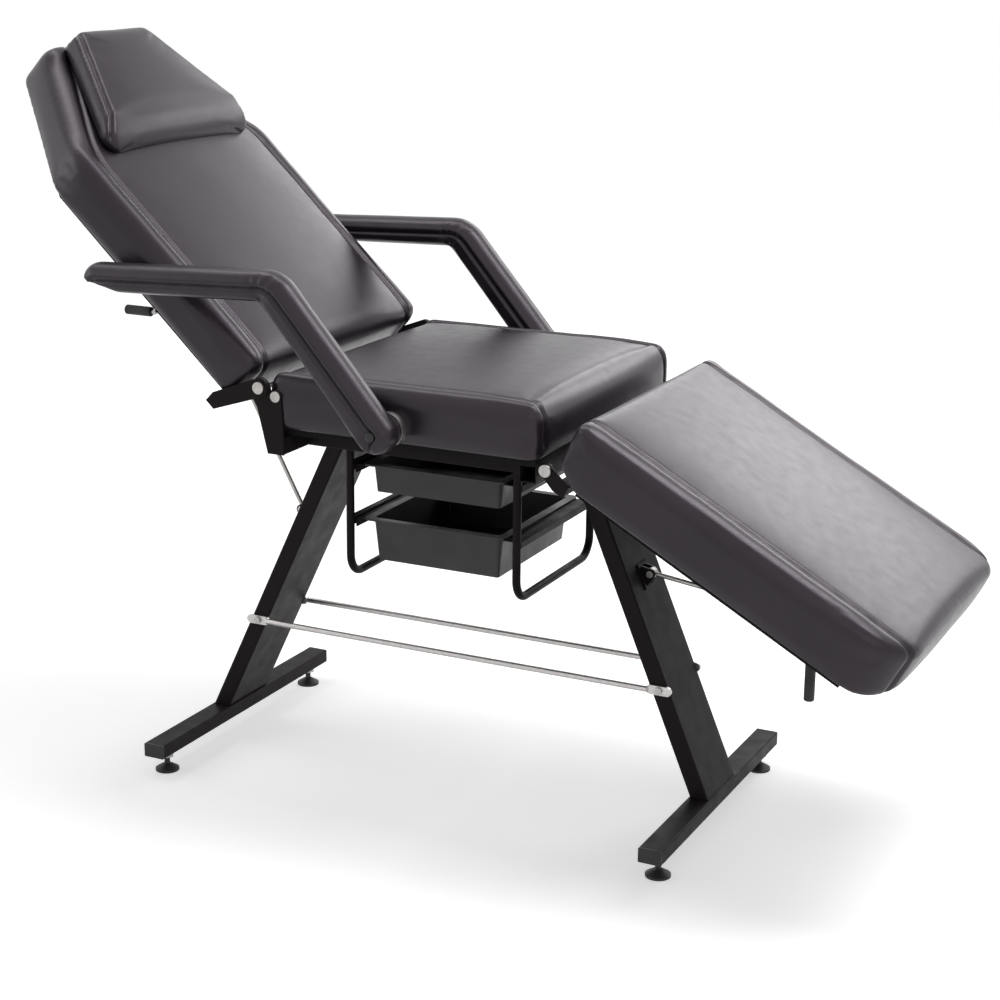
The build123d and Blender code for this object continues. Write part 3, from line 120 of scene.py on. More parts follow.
def eased(value, start=0.0, end=1.0):
    """0 below start, 1 above end, and a smooth rise between them."""
    held = np.clip((value - start) / (end - start), 0.0, 1.0)
    return held * held * (3 - 2 * held)


def ridge(place, centre, width):
    """A smooth bump: 1 at its centre, and nearly 0 from two widths away."""
    return np.exp(-(((place - centre) / width) ** 2))


def vertex_rows(mesh, name):
    found = np.zeros(len(mesh.vertices) * 3)
    mesh.vertices.foreach_get(name, found)
    return found.reshape(-1, 3)


def points_of(mesh):
    return vertex_rows(mesh, "co") / MM


def normals_of(mesh):
    return vertex_rows(mesh, "normal")


def put_points(mesh, points):
    mesh.vertices.foreach_set("co", (points * MM).ravel())
    mesh.update()


def new_mesh(name, points, faces):
    mesh = bpy.data.meshes.new(name)
    mesh.from_pydata([tuple(value * MM for value in point) for point in points], [], faces)
    mesh.update()
    return mesh


def ring_walls(rings, size):
    """Faces between stacked rings that have the same number of points."""
    faces = []
    for low_start in range(0, (rings - 1) * size, size):
        high_start = low_start + size
        for i in range(size):
            j = (i + 1) % size
            faces.append((low_start + i, low_start + j, high_start + j, high_start + i))
    return faces


def linked(name, data):
    """A new object in the scene."""
    made = bpy.data.objects.new(name, data)
    scene.collection.objects.link(made)
    return made


def own_axes(along, across, out, origin):
    """Matrix from a piece's own axes and origin to the chair's frame."""
    place = np.eye(4)
    place[:3] = np.column_stack([along, across, out, origin])
    return place


def moved(mesh, place):
    """Puts a mesh from its own axes into the chair's frame, still facing outwards."""
    turned = place[:3, :3]
    put_points(mesh, points_of(mesh) @ turned.T + place[:3, 3])
    if np.linalg.det(turned) < 0:
        mesh.flip_normals()


CORNER_STEPS = 8
EDGE_STEPS = 7
LEAST_RADIUS = 1.0


def rounded_outline(points, radii, insets):
    """Counter-clockwise outline, each side moved in by its inset and each corner rounded."""
    points = np.array(points, float)
    side = np.roll(points, -1, 0) - points
    side /= np.linalg.norm(side, axis=1)[:, None]
    inward = np.stack([-side[:, 1], side[:, 0]], 1)
    line = points + inward * insets[:, None]
    outline = []
    for i, outer_radius in enumerate(radii):
        before, after = side[i - 1], side[i]
        run, _ = np.linalg.solve(np.array([before, -after]).T, line[i] - line[i - 1])
        corner = line[i - 1] + run * before
        turn = math.acos(max(-1.0, min(1.0, float(before @ after))))
        facing = 1.0 if before[0] * after[1] - before[1] * after[0] > 0 else -1.0
        radius = max(outer_radius - facing * (insets[i - 1] + insets[i]) / 2, LEAST_RADIUS)
        start = corner - before * radius * math.tan(turn / 2)
        centre = start + facing * inward[i - 1] * radius
        x, y = start - centre
        for k in range(CORNER_STEPS + 1):
            angle = facing * turn * k / CORNER_STEPS
            c, s = math.cos(angle), math.sin(angle)
            outline.append(centre + np.array([c * x - s * y, s * x + c * y]))
    return np.array(outline)


def lofted(points, radii, low, high, low_round, high_round, shares=1.0):
    """Closed block over an outline. Its lower and upper edges are rounded, on each side by that side's share."""
    turns = [math.pi / 2 * k / EDGE_STEPS for k in range(EDGE_STEPS + 1)]
    rounding = [(1 - math.sin(turn), 1 - math.cos(turn)) for turn in turns]
    profile = [(low_round * inward, low + low_round * upward) for inward, upward in rounding]
    profile += [(high_round * inward, high - high_round * downward) for downward, inward in rounding]
    side_shares = np.broadcast_to(shares, len(points))
    made = []
    for inset, level in profile:
        made += [(x, y, level) for x, y in rounded_outline(points, radii, side_shares * inset)]
    size = len(points) * (CORNER_STEPS + 1)
    faces = ring_walls(len(profile), size)
    faces.append(tuple(reversed(range(size))))
    faces.append(tuple(range(len(made) - size, len(made))))
    return new_mesh("block", made, faces)


def with_modifier(mesh, kind, **settings):
    """The mesh as one modifier leaves it."""
    scratch = linked("scratch", mesh)
    modifier = scratch.modifiers.new("made", kind)
    for key, value in settings.items():
        setattr(modifier, key, value)
    graph = bpy.context.evaluated_depsgraph_get()
    made = bpy.data.meshes.new_from_object(scratch.evaluated_get(graph))
    bpy.data.objects.remove(scratch)
    return made


def remeshed(mesh, voxel):
    return with_modifier(mesh, "REMESH", mode="VOXEL", voxel_size=voxel * MM, adaptivity=0.0)


def subdivided(mesh):
    return with_modifier(mesh, "SUBSURF", levels=1, render_levels=1)


# Swelling of the covers
COVER_CLOTH = {
    "quality": 4,
    "mass": 0.3,
    "tension_stiffness": 20.0,
    "compression_stiffness": 20.0,
    "shear_stiffness": 10.0,
    "bending_stiffness": 2.0,
    "use_pressure": True,
    "uniform_pressure_force": 4.0,
    "vertex_group_mass": "held",
}
SWELL_FRAMES = 20
LARGE_MOVE_PERCENTILE = 97
LARGE_MOVE_SHARE = 1.2
LEAST_MOVE = 1e-6


def swollen(mesh, held, limit):
    """Blows a closed cover up between the points that are held, each point by at most the limit."""
    rest = points_of(mesh)
    scratch = linked("scratch", mesh)
    group = scratch.vertex_groups.new(name="held")
    group.add([int(i) for i in np.nonzero(held)[0]], 1.0, "REPLACE")
    cloth = scratch.modifiers.new("cover", "CLOTH")
    for key, value in COVER_CLOTH.items():
        setattr(cloth.settings, key, value)
    cloth.settings.effector_weights.gravity = 0.0
    cloth.collision_settings.use_collision = False
    cloth.point_cache.frame_start = 1
    cloth.point_cache.frame_end = SWELL_FRAMES
    for step in range(1, SWELL_FRAMES + 1):
        scene.frame_set(step)
    graph = bpy.context.evaluated_depsgraph_get()
    blown = points_of(scratch.evaluated_get(graph).to_mesh())
    scratch.evaluated_get(graph).to_mesh_clear()
    scene.frame_set(1)
    bpy.data.objects.remove(scratch)
    move = blown - rest
    move[~np.isfinite(move)] = 0.0
    large = np.percentile(np.linalg.norm(move, axis=1), LARGE_MOVE_PERCENTILE)
    if large > LEAST_MOVE:
        move *= limit * LARGE_MOVE_SHARE / large
    length = np.linalg.norm(move, axis=1)
    kept = limit * np.tanh(length / limit) / np.maximum(length, LEAST_MOVE)
    put_points(mesh, rest + move * kept[:, None])


# Creases of the covers

# Length of the waves in three directions, their depth, and how far from the seam they reach
Waves = namedtuple("Waves", "lengths depth reach")
SEAM_PUCKER = Waves((9.0, 40.0, 15.0), 0.45, 11.0)
BROAD_PUCKER = Waves((38.0, 45.0, 30.0), 0.7, 40.0)
DENTS = Waves((75.0, 70.0, 55.0), 0.6, math.inf)
SIDE_FOLDS = Waves((7.0, 60.0, 9.0), 1.0, 22.0)
ARM_PUCKER = Waves((11.0, 14.0, 12.0), 0.35, 12.0)
ARM_DENTS = Waves((55.0, 30.0, 35.0), 0.45, math.inf)
DENT_SHIFT = 60.0
FOLD_SLANT = 7.0 / 110.0


def ripple(a, b, c):
    """Smooth uneven waves, about -1 to 1. Its factors only keep the waves from repeating."""
    first = np.sin(a + 1.3 * np.sin(0.7 * b + 0.4))
    second = 0.6 * np.sin(1.9 * a + 2.1 + 0.8 * np.sin(1.1 * c))
    third = 0.4 * np.sin(2.3 * b + 0.6 * a + 5.0)
    return (first + second + third) / 2


def creased(waves, from_seam, *places):
    """Waves over three coordinates, fading with the distance from the seam."""
    a, b, c = (place / length for place, length in zip(places, waves.lengths))
    return waves.depth * ripple(a, b, c) * np.exp(-np.abs(from_seam) / waves.reach)


pieces = []


def added(mesh, name, body, slot):
    """A smooth piece that rides on a body. Its material comes last."""
    for face in mesh.polygons:
        face.use_smooth = True
    mesh.name = name
    piece = linked(name, mesh)
    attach(piece, body)
    pieces.append((piece, slot))
    return piece


def dressed(mesh, name, body, nodes, place):
    """Puts a finished cover on the chair in place of its plain solids."""
    moved(mesh, place)
    piece = added(mesh, name, body, "upholstery")
    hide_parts(*nodes)


# Cushions
BASE_HELD = 1.0
STITCH_HELD = 4.0
SIDE_PANEL_FOOT = 25.0
SEAM_FADE = (14.0, 24.0)
GROOVE_DEPTH = 4.6
GROOVE_WIDTH = 4.6
SIDE_FACING = (0.6, 0.9)
FOLDS_BELOW = 20.0
END_CROWN_SHARE = 0.35


def crowned(points, half, low, top, crown, ends):
    """Raises a block's upper face by the crown in the middle, and by less towards its sides and ends."""
    start, end = ends
    middle, reach = (start + end) / 2, (end - start) / 2
    across_share = 1 - np.clip(np.abs(points[:, 1]) / half, 0, 1) ** 2
    along_share = 1 - np.clip(np.abs(points[:, 0] - middle) / reach, 0, 1) ** 4
    along_share = END_CROWN_SHARE + (1 - END_CROWN_SHARE) * along_share
    points[:, 2] += crown * across_share * along_share * eased(points[:, 2], low, top)
    return points


def cushion(side, low, high, half_at, crown, seam_inset, limit, ends, shape, voxel, low_round, high_round,
            side_wave):
    """Upholstered block: a main panel over the top and ends, sewn to side panels, crowned and blown up.

    The side lists station, half width and corner radius, from one end of the cushion to the other.
    """
    outline = [(u, -half) for u, half, _ in side] + [(u, half) for u, half, _ in reversed(side)]
    radii = [radius for _, _, radius in side + side[::-1]]
    top = high - crown
    mesh = remeshed(lofted(outline, radii, low, top, low_round, high_round), voxel)
    points = points_of(mesh)
    half = half_at(points[:, 0])
    points = shape(crowned(points, half, low, top, crown, ends))
    put_points(mesh, points)
    _, y, v = points.T
    stitched = np.abs(np.abs(y) - (half - seam_inset)) < STITCH_HELD
    held = (v < low + BASE_HELD) | (stitched & (v > low + SIDE_PANEL_FOOT))
    swollen(mesh, held, limit)

    mesh = subdivided(mesh)
    points, normals = points_of(mesh), normals_of(mesh)
    u, y, v = points.T
    half = half_at(u)
    seam = np.abs(y) - (half - seam_inset)
    groove = GROOVE_DEPTH * ridge(seam, 0.0, GROOVE_WIDTH)
    pucker = creased(SEAM_PUCKER, seam, u, y, v) + creased(BROAD_PUCKER, seam, u, y, v)
    dents = creased(DENTS, 0.0, u + DENT_SHIFT, y, u)
    folds = creased(SIDE_FOLDS, (high - FOLDS_BELOW - v).clip(0), v + FOLD_SLANT * u, u, v)
    above_foot = eased(v - low, *SEAM_FADE)
    on_side = eased(np.abs(normals[:, 1]), *SIDE_FACING)
    shift = (pucker + dents - groove) * above_foot - on_side * side_wave * eased(folds)
    points = points + normals * shift[:, None]
    widest = float(np.max(half)) + WIDEST_ROOM
    points[:, 1] = np.clip(points[:, 1], -widest, widest)
    put_points(mesh, points)
    return mesh


def straight_sides(half):
    """Half width of a cushion whose sides are parallel."""
    return lambda u: np.full_like(u, half - WIDEST_ROOM)


# Raised edges: how high, how far in from the cover's edge, and how wide
Roll = namedtuple("Roll", "height inset width")


def rolled(points, rise, half, end, strip, roll):
    """Raises a strip along each side of a cushion's face, and a roll along one end."""
    along_side = strip.height * ridge(np.abs(points[:, 1]), half - strip.inset, strip.width)
    along_end = roll.height * ridge(points[:, 0], end - roll.inset, roll.width)
    points[:, 2] += np.maximum(along_side, along_end) * rise**3
    return points


# Seat cushion: its front edge a little lower
SEAT_DROP = 4.0
SEAT_DROP_LENGTH = 90.0
SEAT_STRIP = Roll(8.0, 17.0, 15.0)
SEAT_ROLL = Roll(7.0, 20.0, 13.0)


def seat_shape(points):
    rise = eased(points[:, 2], SEAT_BASE, SEAT_TOP)
    points[:, 2] -= SEAT_DROP * eased(points[:, 0], SEAT_FRONT - SEAT_DROP_LENGTH, SEAT_FRONT) * rise
    return rolled(points, rise, SEAT_HALF, SEAT_FRONT, SEAT_STRIP, SEAT_ROLL)


seat_mesh = cushion(
    side=[
        (SEAT_REAR + REAR_ROOM, SEAT_HALF - SIDE_ROOM, 22.0),
        (SEAT_FRONT - SEAT_FRONT_ROOM, SEAT_HALF - SIDE_ROOM, 24.0),
    ],
    low=SEAT_BASE, high=SEAT_TOP - TOP_ROOM, half_at=straight_sides(SEAT_HALF), ends=(SEAT_REAR, SEAT_FRONT),
    crown=8.0, seam_inset=33.0, limit=5.0, shape=seat_shape, voxel=6.0, low_round=7.0, high_round=26.0,
    side_wave=0.7,
)
seat_points = points_of(seat_mesh)
seat_points[:, 0] = np.clip(seat_points[:, 0], SEAT_REAR, SEAT_FRONT)
put_points(seat_mesh, seat_points)
dressed(seat_mesh, "seat_pad", "seat_frame", ["seat_cushion"], np.eye(4))

# Back cushion: parallel sides, then a taper to the head end
BACK_HEAD_OVER = 6.0
BACK_SHOULDER_EASE = 42.0
BACK_STRIP = Roll(5.0, 20.0, 16.0)
BACK_ROLL = Roll(9.0, 8.0, 20.0)


def back_shape(points):
    rise = eased(points[:, 2], BACK_REAR, BACK_FACE)
    return rolled(points, rise, BACK_HALF, BACK_END, BACK_STRIP, BACK_ROLL)


def back_half(u):
    """Half width of the back, eased over the shoulder."""
    slope = (BACK_HALF - BACK_HEAD_HALF) / (BACK_END - BACK_SHOULDER)
    past = u - BACK_SHOULDER
    bend = (past + BACK_SHOULDER_EASE) ** 2 / (4 * BACK_SHOULDER_EASE)
    narrowed = np.where(np.abs(past) < BACK_SHOULDER_EASE, bend, np.maximum(past, 0))
    return BACK_HALF - WIDEST_ROOM - slope * narrowed


back_mesh = cushion(
    side=[
        (BACK_START + REAR_ROOM, BACK_HALF - SIDE_ROOM, 24.0),
        (BACK_SHOULDER, BACK_HALF - SIDE_ROOM, 90.0),
        (BACK_END + BACK_HEAD_OVER, BACK_HEAD_HALF, 36.0),
    ],
    low=BACK_REAR, high=BACK_FACE - TOP_ROOM, half_at=back_half, ends=(BACK_START, BACK_END),
    crown=8.0, seam_inset=44.0, limit=5.0, shape=back_shape, voxel=6.6, low_round=7.0, high_round=25.0,
    side_wave=0.4,
)
back_place = own_axes(
    along=(-math.cos(BACK_LEAN), 0.0, math.sin(BACK_LEAN)),
    across=(0.0, 1.0, 0.0),
    out=(math.sin(BACK_LEAN), 0.0, math.cos(BACK_LEAN)),
    origin=BACK_PIVOT,
)
dressed(back_mesh, "back_pad", "back", ["back_cushion"], back_place)

# Leg-rest cushion: cut away under the hinge, rounded under the foot end
HEEL_CUT = 27.0
HEEL_END = 61.0
HEEL_LENGTH = 44.0
FOOT_START = 563.0
FOOT_LENGTH = 66.0
FOOT_CUT = 42.0
FOOT_FULLNESS = 0.98


def leg_shape(points):
    u, v = points[:, 0], points[:, 2]
    heel = HEEL_CUT * np.clip((HEEL_END - u) / HEEL_LENGTH, 0, 1)
    past = np.clip((u - FOOT_START) / FOOT_LENGTH, 0, 1)
    foot = FOOT_CUT * (1 - np.sqrt(1 - past**2 * FOOT_FULLNESS))
    base = LEG_BASE + heel + foot
    points[:, 2] = base + (v - LEG_BASE) * (LEG_TOP - base) / (LEG_TOP - LEG_BASE)
    return points


leg_mesh = cushion(
    side=[
        (LEG_START + REAR_ROOM, LEG_HALF - SIDE_ROOM, 20.0),
        (LEG_END - SIDE_ROOM, LEG_HALF - SIDE_ROOM, 76.0),
    ],
    low=LEG_BASE, high=LEG_TOP - TOP_ROOM, half_at=straight_sides(LEG_HALF), ends=(LEG_START, LEG_END),
    crown=7.0, seam_inset=44.0, limit=5.0, shape=leg_shape, voxel=6.3, low_round=7.0, high_round=20.0,
    side_wave=0.7,
)
leg_place = own_axes(
    along=(math.cos(LEG_LEAN), 0.0, -math.sin(LEG_LEAN)),
    across=(0.0, 1.0, 0.0),
    out=(math.sin(LEG_LEAN), 0.0, math.cos(LEG_LEAN)),
    origin=LEG_PIVOT,
)
dressed(leg_mesh, "leg_rest_pad", "leg_rest", ["leg_rest_cushion"], leg_place)

# Head pillow: thick at the head end, with a sloping face for the neck
NECK_EDGE = 12.0
NECK_RISE = 38.0
NECK_LENGTH = 54.0
NECK_ROUNDNESS = 0.8
CREST_RISE = 4.0
CREST_LENGTH = 180.0


def pillow_half(u):
    narrowing = (PILLOW_NECK_HALF - PILLOW_HEAD_HALF) / (PILLOW_END - PILLOW_START)
    return PILLOW_NECK_HALF - (u - PILLOW_START) * narrowing


def pillow_shape(points):
    into = points[:, 0] - PILLOW_START
    slope = NECK_RISE * np.clip(into / NECK_LENGTH, 0, 1) ** NECK_ROUNDNESS
    crest = CREST_RISE * np.clip((into - NECK_LENGTH) / CREST_LENGTH, 0, 1)
    share = (NECK_EDGE + slope + crest) / (PILLOW_TOP - PILLOW_BASE)
    points[:, 2] = PILLOW_BASE + (points[:, 2] - PILLOW_BASE) * share
    return points


pillow_mesh = cushion(
    side=[(PILLOW_START, PILLOW_NECK_HALF, 24.0), (PILLOW_END, PILLOW_HEAD_HALF, 26.0)],
    low=PILLOW_BASE, high=PILLOW_TOP, half_at=pillow_half, ends=(PILLOW_START, PILLOW_END),
    crown=6.0, seam_inset=9.0, limit=4.0, shape=pillow_shape, voxel=5.0, low_round=9.0, high_round=17.0,
    side_wave=0.5,
)
dressed(pillow_mesh, "head_rest_pad", "back", ["head_pillow"], back_place)


# Armrests: bent pads, crowned above a seam half way down, with pinched leather inside the bend

# A corner's reach forward of the pivot, its rise above it, its radius, and the share of the edge rounding
# that the side from there to the next corner takes
Corner = namedtuple("Corner", "reach rise radius edge_share")
TIP_UNDERSIDE = Corner(-541.0, 202.0, 7.0, 0.25)
TIP_SLOPE = Corner(-470.0, 185.0, 30.0, 0.25)
INNER_BEND = Corner(-201.0, 195.0, 20.0, 0.25)
HEEL = Corner(1.0, -44.0, 28.0, 0.8)
FRONT = Corner(45.0, -2.0, 28.0, 1.0)
OUTER_BEND = Corner(-170.0, 245.0, 70.0, 1.0)
TIP_TOP = Corner(-541.0, 229.0, 26.0, 0.6)
ARM_CORNERS = (TIP_UNDERSIDE, TIP_SLOPE, INNER_BEND, HEEL, FRONT, OUTER_BEND, TIP_TOP)
ARM_EDGE = 26.0
ARM_VOXEL = 4.5
ARM_SWELL = 2.6
ARM_FACING = (0.35, 0.75)
ARM_SEAM = 27.0
ARM_STITCH_HELD = 3.0
ARM_GROOVE_DEPTH = 4.0
ARM_GROOVE_WIDTH = 3.1
LIP_MIDDLE = 26.0
LIP_REACH = 7.0
LIP_HEIGHT = 0.9
LIP_WIDTH = 4.0
PINCH_DEPTH = 2.6
PINCH_WIDTH = 16.0
CREASE_REACH = 22.0
CREASE_FADE = 26.0
BUTTON_DEPTH = 3.2
BUTTON_WIDTH = 13.0
BUTTON_FACING = 0.3

# Creases that fan out from the bend: direction in degrees, depth and width
Fan = namedtuple("Fan", "direction depth width")
BEND_CREASES = (Fan(88.0, 1.6, 5.0), Fan(62.0, 2.2, 5.5), Fan(36.0, 1.5, 5.0), Fan(112.0, 1.0, 4.5))


def path_distance(points, path):
    """Distance from each point to a path of straight runs, and how far along it the nearest place is."""
    best = np.full(len(points), math.inf)
    along = np.zeros(len(points))
    travelled = 0.0
    for a, b in zip(path[:-1], path[1:]):
        run = b - a
        length = float(np.linalg.norm(run))
        share = np.clip(((points - a) @ run) / length**2, 0, 1)
        gap = np.linalg.norm(points - (a + share[:, None] * run), axis=1)
        nearer = gap < best
        best = np.where(nearer, gap, best)
        along = np.where(nearer, travelled + share * length, along)
        travelled += length
    return best, along


def bend_creases(from_bend):
    """Depth of the creases that fan out from the bend, and of the pinch at their root."""
    gap = np.hypot(from_bend[:, 0], from_bend[:, 1])
    angle = np.degrees(np.arctan2(from_bend[:, 1], from_bend[:, 0]))
    depth = PINCH_DEPTH * ridge(gap, 0.0, PINCH_WIDTH)
    for crease in BEND_CREASES:
        off = np.radians(angle - crease.direction) * gap
        depth += crease.depth * ridge(off, 0.0, crease.width) * ridge(gap, CREASE_REACH, CREASE_FADE)
    return depth


def arm_cover():
    """One armrest in its own axes: forward, up, and away from the seat, from the middle of its width."""
    corners = [(PIVOT_X + corner.reach, PIVOT_Z + corner.rise) for corner in ARM_CORNERS]
    radii = [corner.radius for corner in ARM_CORNERS]
    shares = [corner.edge_share for corner in ARM_CORNERS]
    outline = rounded_outline(corners, radii, np.zeros(len(corners)))
    outer_path = outline[ARM_CORNERS.index(FRONT) * (CORNER_STEPS + 1):]
    out = ARM_WIDTH / 2
    mesh = remeshed(
        lofted(corners, radii, -out + ARM_ROOM, out - ARM_ROOM, ARM_EDGE, ARM_EDGE, shares), ARM_VOXEL
    )
    from_outer, _ = path_distance(points_of(mesh)[:, :2], outer_path)
    swollen(mesh, np.abs(from_outer - ARM_SEAM) < ARM_STITCH_HELD, ARM_SWELL)

    mesh = subdivided(mesh)
    points, normals = points_of(mesh), normals_of(mesh)
    flat = points[:, :2]
    from_outer, run = path_distance(flat, outer_path)
    lips = LIP_HEIGHT * ridge(np.abs(from_outer - LIP_MIDDLE), LIP_REACH, LIP_WIDTH)
    groove = ARM_GROOVE_DEPTH * ridge(from_outer, ARM_SEAM, ARM_GROOVE_WIDTH) - lips
    on_side = eased(np.abs(normals[:, 2]), *ARM_FACING)
    pucker = creased(ARM_PUCKER, from_outer - ARM_SEAM, run, from_outer, points[:, 2])
    dents = creased(ARM_DENTS, 0.0, run, from_outer, points[:, 2])
    from_pivot = np.hypot(flat[:, 0] - PIVOT_X, flat[:, 1] - PIVOT_Z)
    button = BUTTON_DEPTH * ridge(from_pivot, 0.0, BUTTON_WIDTH) * (normals[:, 2] > BUTTON_FACING)
    creases = bend_creases(flat - corners[ARM_CORNERS.index(INNER_BEND)])
    shift = pucker + dents - button - (groove + creases) * on_side
    points = points + normals * shift[:, None]
    points[:, 2] = np.clip(points[:, 2], -out, out)
    put_points(mesh, points)
    return mesh


# Domed caps over the armrests' pivot bolts: radius, and how far out of the recess
CAP_PROFILE = ((8.8, -5.0), (8.8, -1.0), (8.2, 0.6), (6.0, 2.0), (3.0, 2.8))
CAP_TOP = 3.0
CAP_SIDES = 40
CAP_RECESS = 3.4


def cap_mesh():
    """One cap in its armrest's own axes."""
    floor_level = ARM_WIDTH / 2 - CAP_RECESS
    points = []
    for radius, out in CAP_PROFILE:
        for k in range(CAP_SIDES):
            turn = 2 * math.pi * k / CAP_SIDES
            x, z = PIVOT_X + radius * math.cos(turn), PIVOT_Z + radius * math.sin(turn)
            points.append((x, z, floor_level + out))
    top_ring = len(points) - CAP_SIDES
    points.append((PIVOT_X, PIVOT_Z, floor_level + CAP_TOP))
    faces = ring_walls(len(CAP_PROFILE), CAP_SIDES)
    faces.append(tuple(reversed(range(CAP_SIDES))))
    for k in range(CAP_SIDES):
        faces.append((top_ring + k, top_ring + (k + 1) % CAP_SIDES, len(points) - 1))
    return new_mesh("cap", points, faces)


arm_mesh = arm_cover()
arm_places = {}
for arm_side, facing_y in (("near", -1.0), ("far", 1.0)):
    arm_places[arm_side] = own_axes(
        along=(1.0, 0.0, 0.0), across=(0.0, 0.0, 1.0), out=(0.0, facing_y, 0.0),
        origin=(0.0, facing_y * (ARM_INNER + ARM_WIDTH / 2), 0.0),
    )
    dressed(
        arm_mesh.copy(), f"{arm_side}_arm_rest", f"{arm_side}_arm",
        [f"{arm_side}_arm_pad", f"{arm_side}_arm_core"], arm_places[arm_side],
    )
for arm_side, place in arm_places.items():
    cap = cap_mesh()
    moved(cap, place)
    added(cap, f"{arm_side}_arm_cap", f"{arm_side}_arm", "black_plastic")


# Materials, with lengths in metres

EDGE_LIGHTENING = 0.4


def map_range(tree, value, low, high, start, end, kind="LINEAR"):
    """Output that runs from low to high as the value runs from start to end."""
    node = tree.nodes.new("ShaderNodeMapRange")
    node.interpolation_type = kind
    for name, number in (("From Min", start), ("From Max", end), ("To Min", low), ("To Max", high)):
        node.inputs[name].default_value = number
    tree.links.new(value, node.inputs["Value"])
    return node.outputs["Result"]


class Finish:
    """A node material built step by step around one Principled shader."""

    def __init__(self, name):
        self.material = bpy.data.materials.new(name)
        self.material.use_nodes = True
        self.tree = self.material.node_tree
        self.nodes = self.tree.nodes
        self.links = self.tree.links
        self.shader = self.nodes["Principled BSDF"]
        self.place = self.nodes.new("ShaderNodeTexCoord").outputs["Object"]
        self.bump_before = None

    def set(self, **values):
        """Sets the shader's sockets, with _ for each space in their names."""
        for key, value in values.items():
            self.shader.inputs[key.replace("_", " ")].default_value = value
        return self

    def stretched(self, stretch):
        if stretch is None:
            return self.place
        node = self.nodes.new("ShaderNodeMapping")
        node.inputs["Scale"].default_value = stretch
        self.links.new(self.place, node.inputs["Vector"])
        return node.outputs["Vector"]

    def noise(self, scale, detail=3.0, rough=0.5, stretch=None):
        node = self.nodes.new("ShaderNodeTexNoise")
        node.inputs["Scale"].default_value = scale
        node.inputs["Detail"].default_value = detail
        node.inputs["Roughness"].default_value = rough
        self.links.new(self.stretched(stretch), node.inputs["Vector"])
        return node.outputs["Fac"]

    def cells(self, scale, feature):
        node = self.nodes.new("ShaderNodeTexVoronoi")
        node.feature = feature
        node.inputs["Scale"].default_value = scale
        self.links.new(self.place, node.inputs["Vector"])
        return node.outputs["Distance"]

    def pointiness(self):
        """How sharply the surface stands out, or dips in."""
        return self.nodes.new("ShaderNodeNewGeometry").outputs["Pointiness"]

    def span(self, fac, low, high, start=0.0, end=1.0):
        return map_range(self.tree, fac, low, high, start, end)

    def uneven(self, noise, low, high):
        """From low to high over the values that a noise mostly has."""
        return self.span(noise, low, high, start=0.3, end=0.7)

    def ramp(self, fac, *stops):
        node = self.nodes.new("ShaderNodeValToRGB")
        elements = node.color_ramp.elements
        while len(elements) < len(stops):
            elements.new(0.5)
        for element, (position, colour) in zip(elements, stops):
            element.position = position
            element.color = (*colour, 1.0)
        self.links.new(fac, node.inputs["Fac"])
        return node.outputs["Color"]

    def mottled(self, fac, dark, light):
        return self.ramp(fac, (0.35, dark), (0.7, light))

    def worn(self, colour, light):
        """Edges of the shape a little lighter, as handling leaves them."""
        share = self.span(self.pointiness(), 0.0, EDGE_LIGHTENING, start=0.52, end=0.62)
        mix = self.nodes.new("ShaderNodeMix")
        mix.data_type = "RGBA"
        self.links.new(share, mix.inputs["Factor"])
        self.links.new(colour, mix.inputs["A"])
        mix.inputs["B"].default_value = (*light, 1.0)
        return mix.outputs["Result"]

    def rounded_edges(self, radius):
        node = self.nodes.new("ShaderNodeBevel")
        node.samples = 4
        node.inputs["Radius"].default_value = radius
        self.bump_before = node.outputs["Normal"]
        return self

    def bump(self, height, strength, distance):
        """Adds a bump on top of those before it."""
        node = self.nodes.new("ShaderNodeBump")
        node.inputs["Strength"].default_value = strength
        node.inputs["Distance"].default_value = distance
        self.links.new(height, node.inputs["Height"])
        if self.bump_before is not None:
            self.links.new(self.bump_before, node.inputs["Normal"])
        self.bump_before = node.outputs["Normal"]

    def done(self, colour, roughness):
        self.links.new(colour, self.shader.inputs["Base Color"])
        self.links.new(roughness, self.shader.inputs["Roughness"])
        self.links.new(self.bump_before, self.shader.inputs["Normal"])
        return self.material


def leather():
    """Soft leather, its specular level lowered in hollows such as the seam grooves: painted shade along the seams.
    """
    made = Finish("soft_leather").set(Specular_Tint=(1.0, 0.91, 1.0, 1.0))
    mottle = made.noise(scale=9.0, detail=4.0)
    tone = made.mottled(mottle, dark=(0.0115, 0.0085, 0.0118), light=(0.0175, 0.0135, 0.0178))
    # Painted shade: the specular level drops from 0.4 to 0.02 where the surface dips in, so the seam grooves read
    # dark.
    painted_seam_shade = made.span(made.pointiness(), 0.02, 0.4, start=0.42, end=0.485)
    made.links.new(painted_seam_shade, made.shader.inputs["Specular IOR Level"])
    grain = made.span(made.cells(430.0, "DISTANCE_TO_EDGE"), 0.0, 1.0, start=0.0, end=0.16)
    made.bump(made.noise(scale=26.0, detail=2.0, rough=0.4), strength=0.04, distance=0.0012)
    made.bump(grain, strength=0.22, distance=0.00012)
    made.bump(made.noise(scale=900.0, detail=2.0), strength=0.1, distance=0.00008)
    return made.done(tone, made.uneven(made.noise(scale=48.0), 0.29, 0.35))


def powder_coat():
    made = Finish("powder_coat").set(Specular_IOR_Level=0.07).rounded_edges(0.0012)
    mottle = made.noise(scale=14.0, detail=4.0)
    tone = made.mottled(mottle, dark=(0.0062, 0.0046, 0.0052), light=(0.0094, 0.0072, 0.008))
    tone = made.worn(tone, light=(0.032, 0.027, 0.026))
    made.bump(made.noise(scale=700.0, detail=2.0), strength=0.25, distance=0.00012)
    made.bump(made.noise(scale=160.0, detail=2.0), strength=0.1, distance=0.0003)
    return made.done(tone, made.uneven(made.noise(scale=30.0), 0.36, 0.5))


